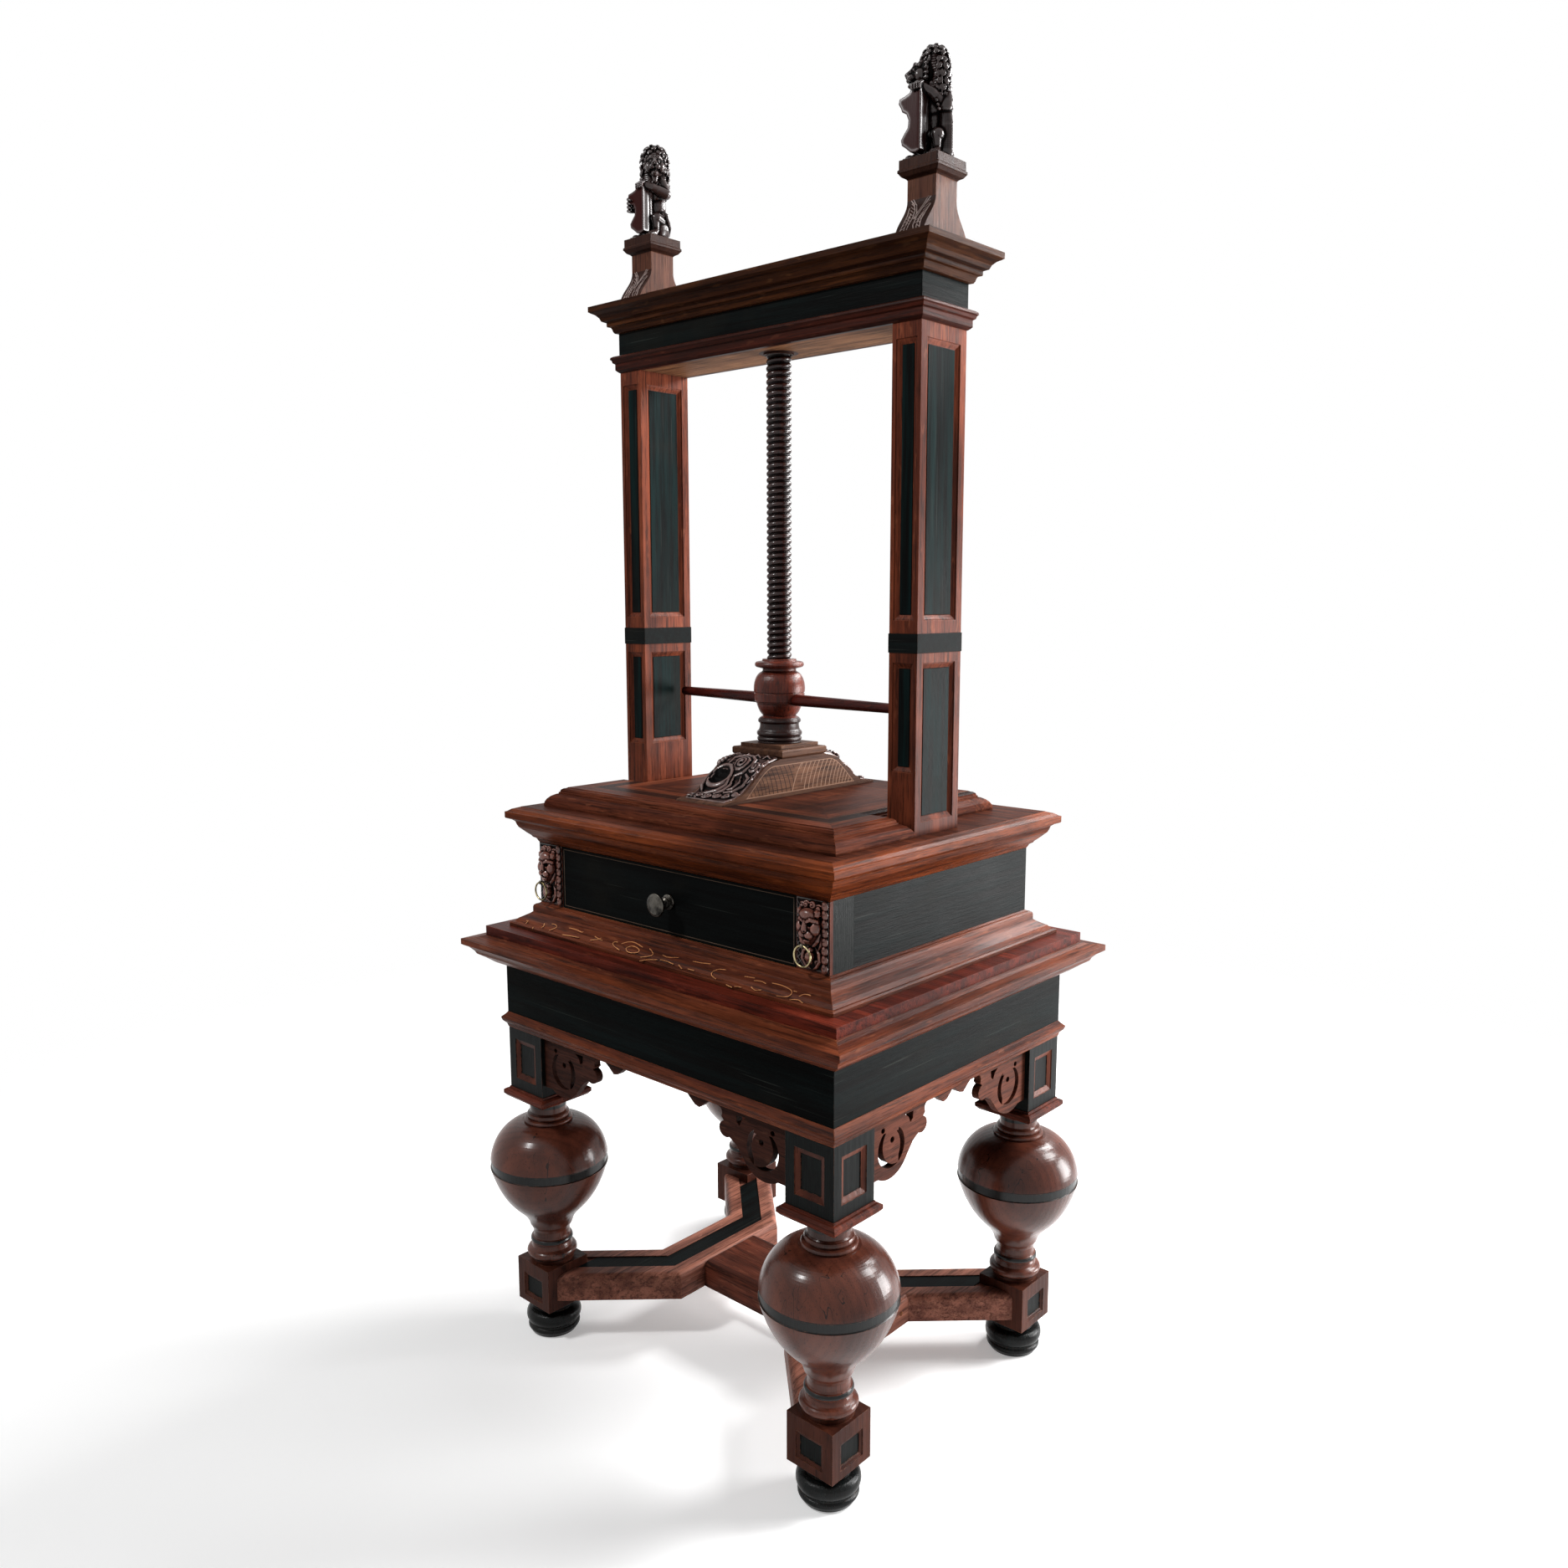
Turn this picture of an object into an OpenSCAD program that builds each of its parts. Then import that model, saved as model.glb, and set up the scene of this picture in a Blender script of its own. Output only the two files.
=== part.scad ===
// Standing book press: a screw press between two posts, on a cabinet with a drawer,
// on a table with four bulb legs. Millimetres, +Z up, drawer side towards -Y.
// The origin is the middle of the footprint, on the floor.

/* [Legs and feet] */
// Width of the table frame over its frieze boards
frame_w = 697.5; // [680:0.5:720]
// Depth of the table frame over its frieze boards
frame_d = 563.5; // [545:0.5:590]
// Height of the bun feet
foot_h = 54; // [46:1:64]
// Widest diameter of the bun feet
foot_dia = 91.5; // [82:0.5:96]
// Diameter of the dowel that joins foot and leg
dowel_dia = 26; // [18:1:30]
// Side of the square block at the bottom of each leg
low_block = 82; // [78:1:88]
// Height of that block
low_block_h = 74; // [68:1:90]
// Height of the turned stretch between the two blocks
turning_h = 284; // [270:1:310]
// Widest diameter of the bulb
bulb_dia = 195; // [176:1:206]
// Height of the widest place above the lower block
bulb_rise = 172; // [160:1:185]
// Diameter of the turned necks
neck_dia = 60; // [52:0.5:64]
// Side of the square block at the top of each leg
top_block = 84.5; // [80:0.5:90]
// Height of that block with its collar
top_block_h = 122; // [116:1:140]
// Height of the collar under the block
collar_h = 19; // [14:0.5:24]
// How far the collar stands out
collar_out = 9; // [5:0.5:12]
// How far the legs stand back behind the front and back frieze boards
leg_set_back = 1; // [0.5:0.5:4]

/* [Stretchers] */
// Width of the side stretchers
stretcher_w = 90; // [76:1:96]
// Thickness of all the stretchers
stretcher_t = 44; // [36:1:50]
// Height of their underside above the block's lower end
stretcher_rise = 16; // [10:1:20]
// Distance of the straight middle of a side stretcher from the press's middle
stretcher_x = 161; // [150:1:175]
// Half the length of that straight middle
stretcher_straight = 100; // [86:1:110]
// Width of the cross stretcher
cross_w = 128; // [100:1:140]
// Radius on the upper edges
stretcher_round = 10; // [4:0.5:14]
// Width of the black strip let into the top
inlay_w = 34; // [24:1:44]
// How far the strip lies below the wood round it
inlay_sunk = 1.5; // [0.5:0.5:2]

/* [Apron and table top] */
// Height of the frieze boards below the cornice
apron_h = 103; // [92:1:115]
// Thickness of the frieze boards
apron_t = 22; // [18:1:26]
// Height of the moulding along their lower edge
apron_mould_h = 25.7; // [20:0.1:32]
// How far that moulding stands out
apron_mould_out = 8.3; // [5:0.1:14]
// Height of the cornice from the frieze to the underside of the top
cornice_h = 47; // [40:0.5:56]
// How far the cornice stands out
cornice_out = 51.3; // [44:0.1:58]
// Thickness of the table top
top_t = 21; // [18:0.5:28]
// How far the table top's own edge stands out over the frieze
top_out = 22; // [16:0.5:28]
// Length of a pierced bracket
bracket_l = 200; // [185:1:204]
// Thickness of the brackets
bracket_t = 12; // [9:0.5:12]
// Drop of the brackets below the frieze boards
bracket_h = 91; // [80:1:98]

/* [Cabinet] */
// How far the cabinet's sides stand in from the frieze boards
case_in_w = 42.5; // [36:0.5:52]
// How far the cabinet's front and back stand in from the frieze boards
case_in_d = 41.75; // [36:0.25:50]
// Thickness of its side and back boards
case_t = 18; // [14:1:22]
// Height of the plinth moulding
plinth_h = 38.5; // [34:0.5:46]
// How far the plinth stands out
plinth_out = 37; // [30:0.5:40]
// Height of the drawer opening
opening_h = 99.5; // [90:0.5:112]
// Width of a corner pilaster
pilaster_w = 58; // [52:1:64]
// Depth of a corner pilaster
pilaster_d = 50; // [40:1:60]
// Height of the moulded edge of the bed
bed_h = 58; // [52:0.5:66]
// How far the bed's moulding stands out
bed_out = 38.5; // [32:0.5:42]
// How far the flat top of the bed stands out over the cabinet
bed_lip = 20; // [14:0.5:24]
// Thickness of the bed above the hollow of its moulding
bed_lip_t = 21; // [16:0.5:26]

/* [Drawer] */
// Gap round the drawer front
drawer_gap = 0.6; // [0.4:0.1:2]
// Thickness of the drawer front
drawer_front_t = 20; // [16:1:24]
// Thickness of the drawer's sides and back
drawer_side_t = 10; // [8:1:14]
// Thickness of the drawer's bottom
drawer_bottom_t = 6; // [4:1:10]
// Height of the drawer's sides
drawer_side_h = 80; // [60:1:88]
// Room behind the drawer when it is shut
drawer_room = 37; // [10:1:80]
// Diameter of the knob
knob_dia = 35; // [28:1:42]
// How far the knob stands out
knob_out = 31; // [26:1:40]
// Diameter of the knob's shank
knob_shank = 7; // [5:0.5:9]

/* [Masks and rings] */
// Outside diameter of the pull rings
ring_dia = 31; // [27:0.5:32]
// Thickness of the ring's wire
ring_wire = 2.8; // [2.2:0.1:3.2]
// Height of the hinge of the rings above the plinth
ring_rise = 40; // [38:0.5:46]
// Distance of the rings in front of the cabinet
ring_out = 21.5; // [20:0.5:26]
// How far the masks stand out
mask_out = 19; // [16:0.5:19]

/* [Posts] */
// Width of a post, seen from the front
post_w = 48; // [44:0.5:54]
// Depth of a post, seen from the side
post_d = 105; // [96:0.5:112]
// Height of the posts between bed and head
post_h = 695; // [640:1:740]
// How far the posts stand in from the cabinet's sides
post_inset = 3.8; // [1:0.1:6]
// Thickness of the tenons
tenon_t = 26; // [20:1:28]
// Width of the tenons
tenon_w = 66; // [50:1:76]
// Depth of the tenons in the head
tenon_h = 60; // [45:1:80]
// Height of the waist band above the bed
band_rise = 255.5; // [250:0.5:262]
// Height of the waist band
band_h = 26.5; // [20:0.5:30]
// How far the waist band stands out
band_out = 1; // [0.5:0.5:2]
// Depth of the sunk panels
panel_sunk = 6; // [4:0.5:7]
// Width of the moulding round a sunk panel
panel_border = 8; // [5:0.5:8]
// Thickness of the black panels
panel_t = 2; // [1.5:0.5:3]

/* [Head] */
// Height of the head between soffit and top
head_h = 103; // [98:0.5:115]
// Half depth of the head over its frieze
head_half_d = 53.65; // [53.6:0.05:60]
// Height of the architrave along the soffit
architrave_h = 26; // [22:0.5:30]
// How far the architrave stands out
architrave_out = 11; // [7:0.5:14]
// Height of the black frieze
head_frieze_h = 35; // [28:0.5:38]
// Thickness of the frieze boards
head_frieze_t = 6.3; // [4:0.1:8]
// How far the head's cornice stands out
head_out = 35; // [28:0.5:42]

/* [Finials] */
// Height of the pedestals
pedestal_h = 84; // [74:1:94]
// Width of the pedestals
pedestal_w = 46.5; // [40:0.5:52]
// Depth of a pedestal at its foot
pedestal_foot = 102; // [90:1:105]
// Depth of a pedestal at its neck
pedestal_neck = 48; // [42:1:54]
// Height of the cap on a pedestal
cap_h = 25; // [20:0.5:30]
// How far the cap stands out over the pedestal's neck
cap_out = 10; // [7:0.5:12]
// Height of a lion
lion_h = 146.5; // [130:0.5:160]

/* [Press screw] */
// Outside diameter of the screw's thread
screw_dia = 38.6; // [34:0.1:42]
// Diameter of the plain tail through hub and saddle
tail_dia = 32; // [26:0.5:33]
// Radial clearance of the screw in its nut and of the tail in the saddle
run_fit = 0.05; // [0.02:0.01:0.1]
// Diameter of the nut in the head
nut_dia = 60; // [52:1:66]
// Diameter of the nut's flange under the soffit
flange_dia = 46; // [44:1:50]
// Thickness of that flange
flange_t = 2.5; // [1.5:0.5:4]
// Height of the turned hub
hub_h = 130; // [122:1:140]
// Widest diameter of the hub
hub_dia = 80.4; // [74:0.2:86]
// Height of the lever's hole above the hub's foot
lever_rise = 67.5; // [64:0.5:71]
// Diameter of the lever in the hub
lever_dia = 18; // [14:0.5:20]
// Diameter of the lever at its ends
lever_end_dia = 14.5; // [11:0.5:14.5]
// Gap between the lever's ends and the posts when it points at them
lever_gap = 8.8; // [8:0.1:30]
// Angle of the lever at rest, seen from above
lever_angle = -6.2; // [-12:0.2:12]

/* [Platen] */
// Thickness of the platen
platen_t = 29.5; // [25:0.5:36]
// How far the platen's front edge stands back from the cabinet's front
platen_front = 11; // [6:0.5:20]
// How far the platen's rear edge stands forward of the cabinet's back
platen_back = 16; // [10:0.5:24]
// Gap between platen and the posts' waist bands
platen_gap = 0.7; // [0.4:0.1:3]
// Length of the saddle, front to back
saddle_l = 356; // [320:1:370]
// Width of the saddle
saddle_w = 98; // [88:1:104]
// Height of the saddle
saddle_h = 77.5; // [70:0.5:86]
// Diameter of the washer that lifts the platen
washer_dia = 52; // [42:1:58]
// Thickness of that washer
washer_t = 5; // [4:0.5:7]

/* [Hidden] */
$fn = 64;

// Gap between pieces that pass or seat loosely
gap = 0.3;
// How far each length of moulding stops short of its mitre
mitre_gap = 0.08;
// How far a cutting shape reaches past the face it cuts
past = 1;
// How far the head reaches past the outer faces of the posts
head_past_posts = 0.8;
// How far the drawer front reaches past the drawer's sides
drawer_rebate = 8;
// How far the screw's upper end stays below the top of the head
screw_short = 2;

// Heights of the levels, from the floor up
low_block_z = foot_h;
turning_z = low_block_z + low_block_h;
top_block_z = turning_z + turning_h;
apron_z = top_block_z + top_block_h;
cornice_z = apron_z + apron_h;
slab_z = cornice_z + cornice_h;
table_z = slab_z + top_t;
opening_z = table_z + plinth_h;
bed_mould_z = opening_z + opening_h;
bed_z = bed_mould_z + bed_h;
platen_z = bed_z + platen_t;
hub_z = platen_z + saddle_h + gap;
lever_z = hub_z + lever_rise;
thread_z = hub_z + hub_h;
soffit_z = bed_z + post_h;
head_z = soffit_z + head_h;
cap_z = head_z + pedestal_h;
lion_z = cap_z + cap_h;

// Width and depth of the cabinet
case_w = frame_w - 2 * case_in_w;
case_d = frame_d - 2 * case_in_d;

// Places in plan
leg_x = (frame_w - top_block) / 2;
leg_y = frame_d / 2 - leg_set_back - top_block / 2;
post_x = case_w / 2 - post_inset - post_w / 2;
post_clear = post_x - post_w / 2;
head_half_w = post_x + post_w / 2 + head_past_posts;
pilaster_x = (case_w - pilaster_w) / 2;
drawer_half = case_w / 2 - pilaster_w - drawer_gap;
drawer_box_half = drawer_half - drawer_rebate;
drawer_l = case_d - drawer_front_t - case_t - drawer_room;
ring_z = opening_z + ring_rise;
ring_y = -case_d / 2 - ring_out;
lever_half = post_clear - lever_gap;
screw_top = head_z - screw_short;

oak = "#5a3322";
dark_oak = "#432619";
black = "#191d1c";
metal = "#8b8778";

// Points along a round or oval stretch of an outline
function arc(c, a, b, from, to, n) =
  [for (i = [0 : n]) let (t = from + (to - from) * i / n) [c.x + a * cos(t), c.y + b * sin(t)]];

// Points along a curve that leaves a towards b and comes from c to d
function sweep(a, b, c, d, n) =
  [for (i = [0 : n]) let (t = i / n, s = 1 - t)
    s * s * s * a + 3 * s * s * t * b + 3 * s * t * t * c + t * t * t * d];

// An outline drawn in millimetres, stretched to the projection and height it is given
function fit(pts, out, high) =
  let (w = max([for (p = pts) p.x]), h = max([for (p = pts) p.y]))
  [for (p = pts) [p.x > 0 ? p.x * out / w : p.x, p.y * high / h]];

// A moulding's section with a straight back at the depth given
function backed(pts, back) =
  concat([[-back, pts[0].y]], pts, [[-back, pts[len(pts) - 1].y]]);

// Four lengths of moulding, mitred round a rectangle with half sizes hx and hy
module mitred(hx, hy, section) {
  reach = max([for (p = section) p.x]);
  inner = -min([for (p = section) p.x]);
  low = min([for (p = section) p.y]);
  high = max([for (p = section) p.y]);
  for (turn = [0 : 90 : 270]) {
    along = turn % 180 == 0 ? hx : hy;
    out = turn % 180 == 0 ? hy : hx;
    rotate(turn) intersection() {
      rotate([90, 0, 90]) linear_extrude(2 * (along + reach) + past, center = true)
        polygon([for (p = section) [-out - p.x, p.y]]);
      translate([0, 0, low - past]) linear_extrude(high - low + 2 * past)
        polygon([
          [mitre_gap - along - reach, -out - reach], [along + reach - mitre_gap, -out - reach],
          [along - inner - mitre_gap, -out + inner], [inner - along + mitre_gap, -out + inner]
        ]);
    }
  }
}

// A slab with the same edge all round; the edge lists how far in it is at each height
module moulded_slab(hx, hy, edge) {
  n = len(edge);
  function both(half) = concat(
    [for (p = edge) [p.x - half, p.y]],
    [for (i = [n - 1 : -1 : 0]) [half - edge[i].x, edge[i].y]]
  );
  intersection() {
    rotate([90, 0, 90]) linear_extrude(2 * hx + past, center = true) polygon(both(hy));
    rotate([90, 0, 0]) linear_extrude(2 * hy + past, center = true) polygon(both(hx));
  }
}

// Turns a shape drawn upright, facing +Z, to face front, right, back or left
module facing(turn, out, z) {
  rotate(turn) translate([0, -out, z]) rotate([90, 0, 0]) children();
}

// The hollow of a sunk panel with its moulded border, w by h, centred on its face
module sunk_panel(w, h, sunk, border) {
  edge = [
    [border + 0.01, -sunk], [border, -sunk], [border, 1 - sunk], [border * 0.8, 1.6 - sunk],
    [border * 0.45, -sunk * 0.45], [border * 0.2, -1.6], [0, -1.2], [0, past]
  ];
  moulded_slab(w / 2, h / 2, edge);
}

// Turned bun foot with its dowel
module bun_foot() {
  r = foot_dia / 2;
  color(black) union() {
    scale_h = foot_h / 54;
    rotate_extrude() polygon(concat(
      [[0, 0], [r - 8, 0]],
      arc([r - 6.5, 10 * scale_h], 4, 5 * scale_h, -60, 70, 6),
      arc([r - 8, 28.5 * scale_h], 8, 11.5 * scale_h, -75, 75, 12),
      [[r - 13, 42 * scale_h], [r - 13, 45 * scale_h]],
      arc([r - 14, foot_h - 5], 4, 4, -60, 75, 6),
      [[r - 14, foot_h], [0, foot_h]]
    ));
    translate([0, 0, foot_h]) cylinder(h = 24, d = dowel_dia);
  }
}

// Outline of the turned stretch of a leg, from its axis out; its ends run into the blocks
function leg_outline() =
  let (
    neck = neck_dia / 2,
    bulb = bulb_dia / 2,
    crown = turning_h - 40.5 - bulb_rise,
    shoulder = bulb - 58
  )
  concat(
    [[0, -past], [36, -past], [36, 6]],
    arc([34.5, 15], 7, 7, -75, 75, 8),
    [[33.5, 23.5], [32.5, 27]],
    arc([neck, 36], 5, 5.5, -80, 80, 7),
    [[neck, 45], [neck, 53], [neck + 2, 58]],
    sweep([neck + 5, bulb_rise * 0.366], [neck + 12.7, bulb_rise * 0.558],
      [bulb - 21.9, bulb_rise * 0.534], [bulb - 0.4, bulb_rise - 3], 28),
    [[bulb - 2.2, bulb_rise - 2], [bulb - 2.2, bulb_rise + 11.5]],
    arc([shoulder, bulb_rise], 58, crown, 9, 80, 18),
    [[shoulder + 4, bulb_rise + crown + 0.5]],
    arc([36, turning_h - 37], 3.7, 3.7, -60, 80, 5),
    arc([neck + 1.5, turning_h - 28.5], 3.5, 4.5, -80, 80, 5),
    [[neck, turning_h - 22], [neck, turning_h + past], [0, turning_h + past]]
  );

// Depth of the groove that a collar sits in
collar_groove = 2;

// Leg: lower block, turned bulb, upper block and the stump inside the apron
module leg(sx, sy) {
  low_panel = [48, 40];
  low_panel_sunk = 4;
  low_panel_border = 5;
  top_panel = [52, 67];
  top_panel_sunk = 5;
  top_panel_border = 8;
  dowel_hole = 25;
  stump_x = top_block - apron_t;
  stump_y = top_block - apron_t + leg_set_back;
  color(dark_oak) translate([sx * leg_x, sy * leg_y, 0]) difference() {
    union() {
      translate([-low_block / 2, -low_block / 2, low_block_z])
        cube([low_block, low_block, low_block_h]);
      translate([0, 0, turning_z]) rotate_extrude() polygon(leg_outline());
      translate([-top_block / 2, -top_block / 2, top_block_z])
        cube([top_block, top_block, top_block_h]);
      translate([
        sx > 0 ? -top_block / 2 : top_block / 2 - stump_x,
        sy > 0 ? -top_block / 2 : top_block / 2 - stump_y,
        apron_z
      ]) cube([stump_x, stump_y, apron_h + cornice_h]);
    }
    translate([0, 0, low_block_z - past]) cylinder(h = dowel_hole + past, d = dowel_dia);
    for (turn = [sy < 0 ? 0 : 180, sx > 0 ? 90 : 270]) {
      facing(turn, low_block / 2, low_block_z + low_block_h * 0.43)
        sunk_panel(low_panel.x, low_panel.y, low_panel_sunk, low_panel_border);
      facing(turn, top_block / 2, top_block_z + (top_block_h + collar_h) / 2)
        sunk_panel(top_panel.x, top_panel.y, top_panel_sunk, top_panel_border);
    }
    for (turn = [0 : 90 : 270])
      facing(turn, top_block / 2 - collar_groove, top_block_z + collar_h / 2)
        translate([-top_block, -collar_h / 2, 0]) cube([2 * top_block, collar_h, collar_groove + past]);
  }
}

// Mitred collars round the lower end of the upper blocks
module leg_collars() {
  section = backed(fit(
    [[1, 0], [4.5, 2], [9, 7], [9, 13], [5.5, 15.5], [2, 16], [1.5, 19]],
    collar_out, collar_h
  ), collar_groove);
  color(oak) for (sx = [-1, 1], sy = [-1, 1])
    translate([sx * leg_x, sy * leg_y, top_block_z]) mitred(top_block / 2, top_block / 2, section);
}

// Angle and length of the slanting ends of a side stretcher
slant_run = leg_y - stretcher_straight;
slant_side = leg_x - stretcher_x;
slant_angle = atan2(slant_side, slant_run);
slant_l = norm([slant_run, slant_side]);

// Three lengths that follow the plan of the right-hand stretcher, with a section w wide;
// each stops short of the mitre by the distance given
module stretcher_path(w, section, short) {
  reach = w / 2 + past;
  skew = reach * tan(slant_angle / 2);
  middle = stretcher_straight - short;
  low = min([for (p = section) p.y]);
  high = max([for (p = section) p.y]);
  translate([stretcher_x, 0, 0]) {
    intersection() {
      rotate([90, 0, 0]) linear_extrude(2 * (stretcher_straight + w), center = true)
        polygon(section);
      translate([0, 0, low - past]) linear_extrude(high - low + 2 * past) polygon([
        [-reach, -middle - skew], [reach, skew - middle],
        [reach, middle - skew], [-reach, middle + skew]
      ]);
    }
    for (sy = [0, 1]) mirror([0, sy, 0]) translate([0, stretcher_straight, 0])
      rotate(-slant_angle) intersection() {
        rotate([90, 0, 0]) linear_extrude(2 * slant_l, center = true) polygon(section);
        translate([0, 0, low - past]) linear_extrude(high - low + 2 * past) polygon([
          [-reach, short - skew], [reach, short + skew], [reach, slant_l], [-reach, slant_l]
        ]);
      }
  }
}

stretcher_z = low_block_z + stretcher_rise;
inlay_t = 2;

// Section of a stretcher: square below, both upper edges rounded
function stretcher_section(w) = concat(
  [[-w / 2, 0], [w / 2, 0]],
  arc([w / 2 - stretcher_round, stretcher_t - stretcher_round],
    stretcher_round, stretcher_round, 0, 90, 6),
  arc([stretcher_round - w / 2, stretcher_t - stretcher_round],
    stretcher_round, stretcher_round, 90, 180, 6)
);

function flat_section(w, low, high) = [[-w / 2, low], [w / 2, low], [w / 2, high], [-w / 2, high]];

// Side stretcher on the right: three lengths pegged at the mitres, cut round the leg blocks
module side_stretcher() {
  color(dark_oak) translate([0, 0, stretcher_z]) difference() {
    stretcher_path(stretcher_w, stretcher_section(stretcher_w), mitre_gap);
    stretcher_path(inlay_w, flat_section(inlay_w, stretcher_t - inlay_sunk - inlay_t,
      stretcher_t + past), -mitre_gap);
    for (sy = [-1, 1]) {
      translate([leg_x - low_block / 2, sy * leg_y - low_block / 2, -past])
        cube([low_block * 2, low_block, stretcher_t + 2 * past]);
      translate([leg_x - low_block / 2, sy > 0 ? leg_y : -leg_y - low_block * 2, -past])
        cube([low_block * 2, low_block * 2, stretcher_t + 2 * past]);
      translate([leg_x - low_block, sy > 0 ? leg_y + low_block / 2 : -leg_y - low_block * 2.5, -past])
        cube([low_block * 2, low_block * 2, stretcher_t + 2 * past]);
      peg_place(sy) cylinder(h = peg_l + past, d = peg_dia);
    }
  }
}

peg_dia = stretcher_t * 0.18;
peg_l = stretcher_w * 0.28;

// Place of a peg in the outer face of the straight middle, pointing inwards
module peg_place(sy) {
  translate([stretcher_x + stretcher_w / 2 + 0.5, sy * stretcher_straight * 0.62, stretcher_t / 2])
    rotate([0, -90, 0]) children();
}

module joint_pegs() {
  color(oak) for (sx = [0, 1]) mirror([sx, 0, 0]) translate([0, 0, stretcher_z])
    for (sy = [-1, 1]) peg_place(sy) cylinder(h = peg_l, d = peg_dia);
}

// Black strips let into the tops of the side stretchers
module stretcher_inlays() {
  color(black) for (sx = [0, 1]) mirror([sx, 0, 0]) translate([0, 0, stretcher_z]) difference() {
    stretcher_path(inlay_w, flat_section(inlay_w, stretcher_t - inlay_sunk - inlay_t,
      stretcher_t - inlay_sunk), mitre_gap);
    for (sy = [-1, 1]) translate([leg_x - low_block / 2, sy * leg_y - low_block, 0])
      cube([low_block * 2, low_block * 2, stretcher_t + past]);
    for (sy = [-1, 1]) translate([leg_x - low_block, sy * (leg_y + low_block) - low_block / 2, 0])
      cube([low_block * 2, low_block, stretcher_t + past]);
  }
}

// Cross stretcher between the two side stretchers
module cross_stretcher() {
  half = stretcher_x - stretcher_w / 2;
  color(dark_oak) translate([0, 0, stretcher_z]) rotate([90, 0, 90])
    linear_extrude(2 * half, center = true) polygon(stretcher_section(cross_w));
}

// One frieze board, mitred at both ends, seen as the side that faces the turn given
module frieze_board(turn) {
  hx = turn % 180 == 0 ? frame_w / 2 : frame_d / 2;
  hy = turn % 180 == 0 ? frame_d / 2 : frame_w / 2;
  color(black) rotate(turn) translate([0, 0, apron_z]) linear_extrude(apron_h + cornice_h) polygon([
    [-hx, -hy], [hx, -hy], [hx - apron_t, apron_t - hy], [apron_t - hx, apron_t - hy]
  ]);
}

// Moulding along the lower edge of the frieze
module apron_moulding() {
  section = fit(
    [[0, 0], [1.9, 5.7], [6.6, 10.3], [8.3, 14.7], [8.3, 16.7], [3, 21.7], [0, 25.7]],
    apron_mould_out, apron_mould_h
  );
  color(oak) translate([0, 0, apron_z]) mitred(frame_w / 2, frame_d / 2, section);
}

// Flat outline of a pierced bracket: u runs away from the leg, v down from the frieze
module bracket_shape() {
  k = bracket_h / 91;
  difference() {
    polygon(concat(
      [[bracket_l, 0], [0, 0], [0, -84 * k]],
      arc([44, -44 * k], 47, 47 * k, 238, 318, 10),
      [[90, -62 * k], [98, -53 * k]],
      arc([118, -36 * k], 13, 12 * k, 236, 435, 10),
      arc([134, -14 * k], 9, 9 * k, 215, 80, 8),
      [[152, -5 * k], [161, -11 * k], [171, -19 * k], [180, -17 * k], [190, -9 * k]]
    ));
    // two facing crescents with a curl between them, and a wedge towards the middle
    difference() {
      translate([48, -47 * k]) circle(d = 60);
      translate([38, -47 * k]) circle(d = 60);
      translate([44, -92 * k]) square([40, 60], center = true);
      translate([44, -8 * k]) square([40, 36], center = true);
    }
    difference() {
      translate([48, -46 * k]) circle(d = 60);
      translate([59, -42 * k]) circle(d = 61);
      translate([36, -4 * k]) square([50, 36], center = true);
    }
    translate([50, -36 * k]) circle(d = 9);
    translate([29, -17 * k]) circle(d = 8);
    polygon([[79, -9 * k], [98, -9 * k], [97, -20 * k], [91, -24 * k], [87, -15 * k]]);
  }
}

bracket_back = 8;

// Brackets under the front and back frieze boards
module long_brackets() {
  color(oak) for (sx = [0, 1], sy = [0, 1]) mirror([sx, 0, 0]) mirror([0, sy, 0])
    translate([leg_x - top_block / 2, bracket_back + bracket_t - frame_d / 2, apron_z])
      rotate([90, 0, 0]) linear_extrude(bracket_t) mirror([1, 0, 0]) bracket_shape();
}

// Brackets under the side frieze boards
module side_brackets() {
  color(oak) for (sx = [0, 1], sy = [0, 1]) mirror([sx, 0, 0]) mirror([0, sy, 0])
    translate([frame_w / 2 - bracket_back - bracket_t, top_block / 2 - leg_y, apron_z])
      rotate([90, 0, 90]) linear_extrude(bracket_t) intersection() {
        bracket_shape();
        translate([0, -bracket_h * 1.5]) square([leg_y - top_block / 2 - gap, bracket_h * 2]);
      }
}

// Cornice between frieze and table top
module table_cornice() {
  lift = 6;
  lower = fit(
    [[0, 0], [5, 4], [12, 6.2], [24, 15], [33.5, 21], [36, 26], [43, 33.5], [48, 35.5], [51.3, 37.8],
      [51.3, 47]],
    cornice_out, cornice_h
  );
  slope = top_out + 0.01;
  color(oak) translate([0, 0, cornice_z]) mitred(frame_w / 2, frame_d / 2, concat(lower, [
    [cornice_out - 6, cornice_h + 1], [(cornice_out + slope) / 2 + 3, cornice_h + 1.4],
    [(cornice_out + slope) / 2 - 5, cornice_h + 2.5], [slope, cornice_h + lift],
    [slope, cornice_h], [0, cornice_h]
  ]));
}

// Table top
module table_top() {
  color(oak) translate([-frame_w / 2 - top_out, -frame_d / 2 - top_out, slab_z])
    cube([frame_w + 2 * top_out, frame_d + 2 * top_out, top_t]);
}

// Plinth moulding round the foot of the cabinet
module plinth() {
  section = fit(
    [[0, 0], [37, 0], [37, 5], [34, 7], [31, 7], [26.5, 12.5], [21.4, 15.3], [12.7, 20.5], [9.7, 23],
      [9.7, 31], [8.6, 34], [5.7, 36], [3, 36.4], [0, 38.5]],
    plinth_out, plinth_h
  );
  color(oak) translate([0, 0, table_z]) mitred(case_w / 2, case_d / 2, section);
}

case_board_h = plinth_h + opening_h;

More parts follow.
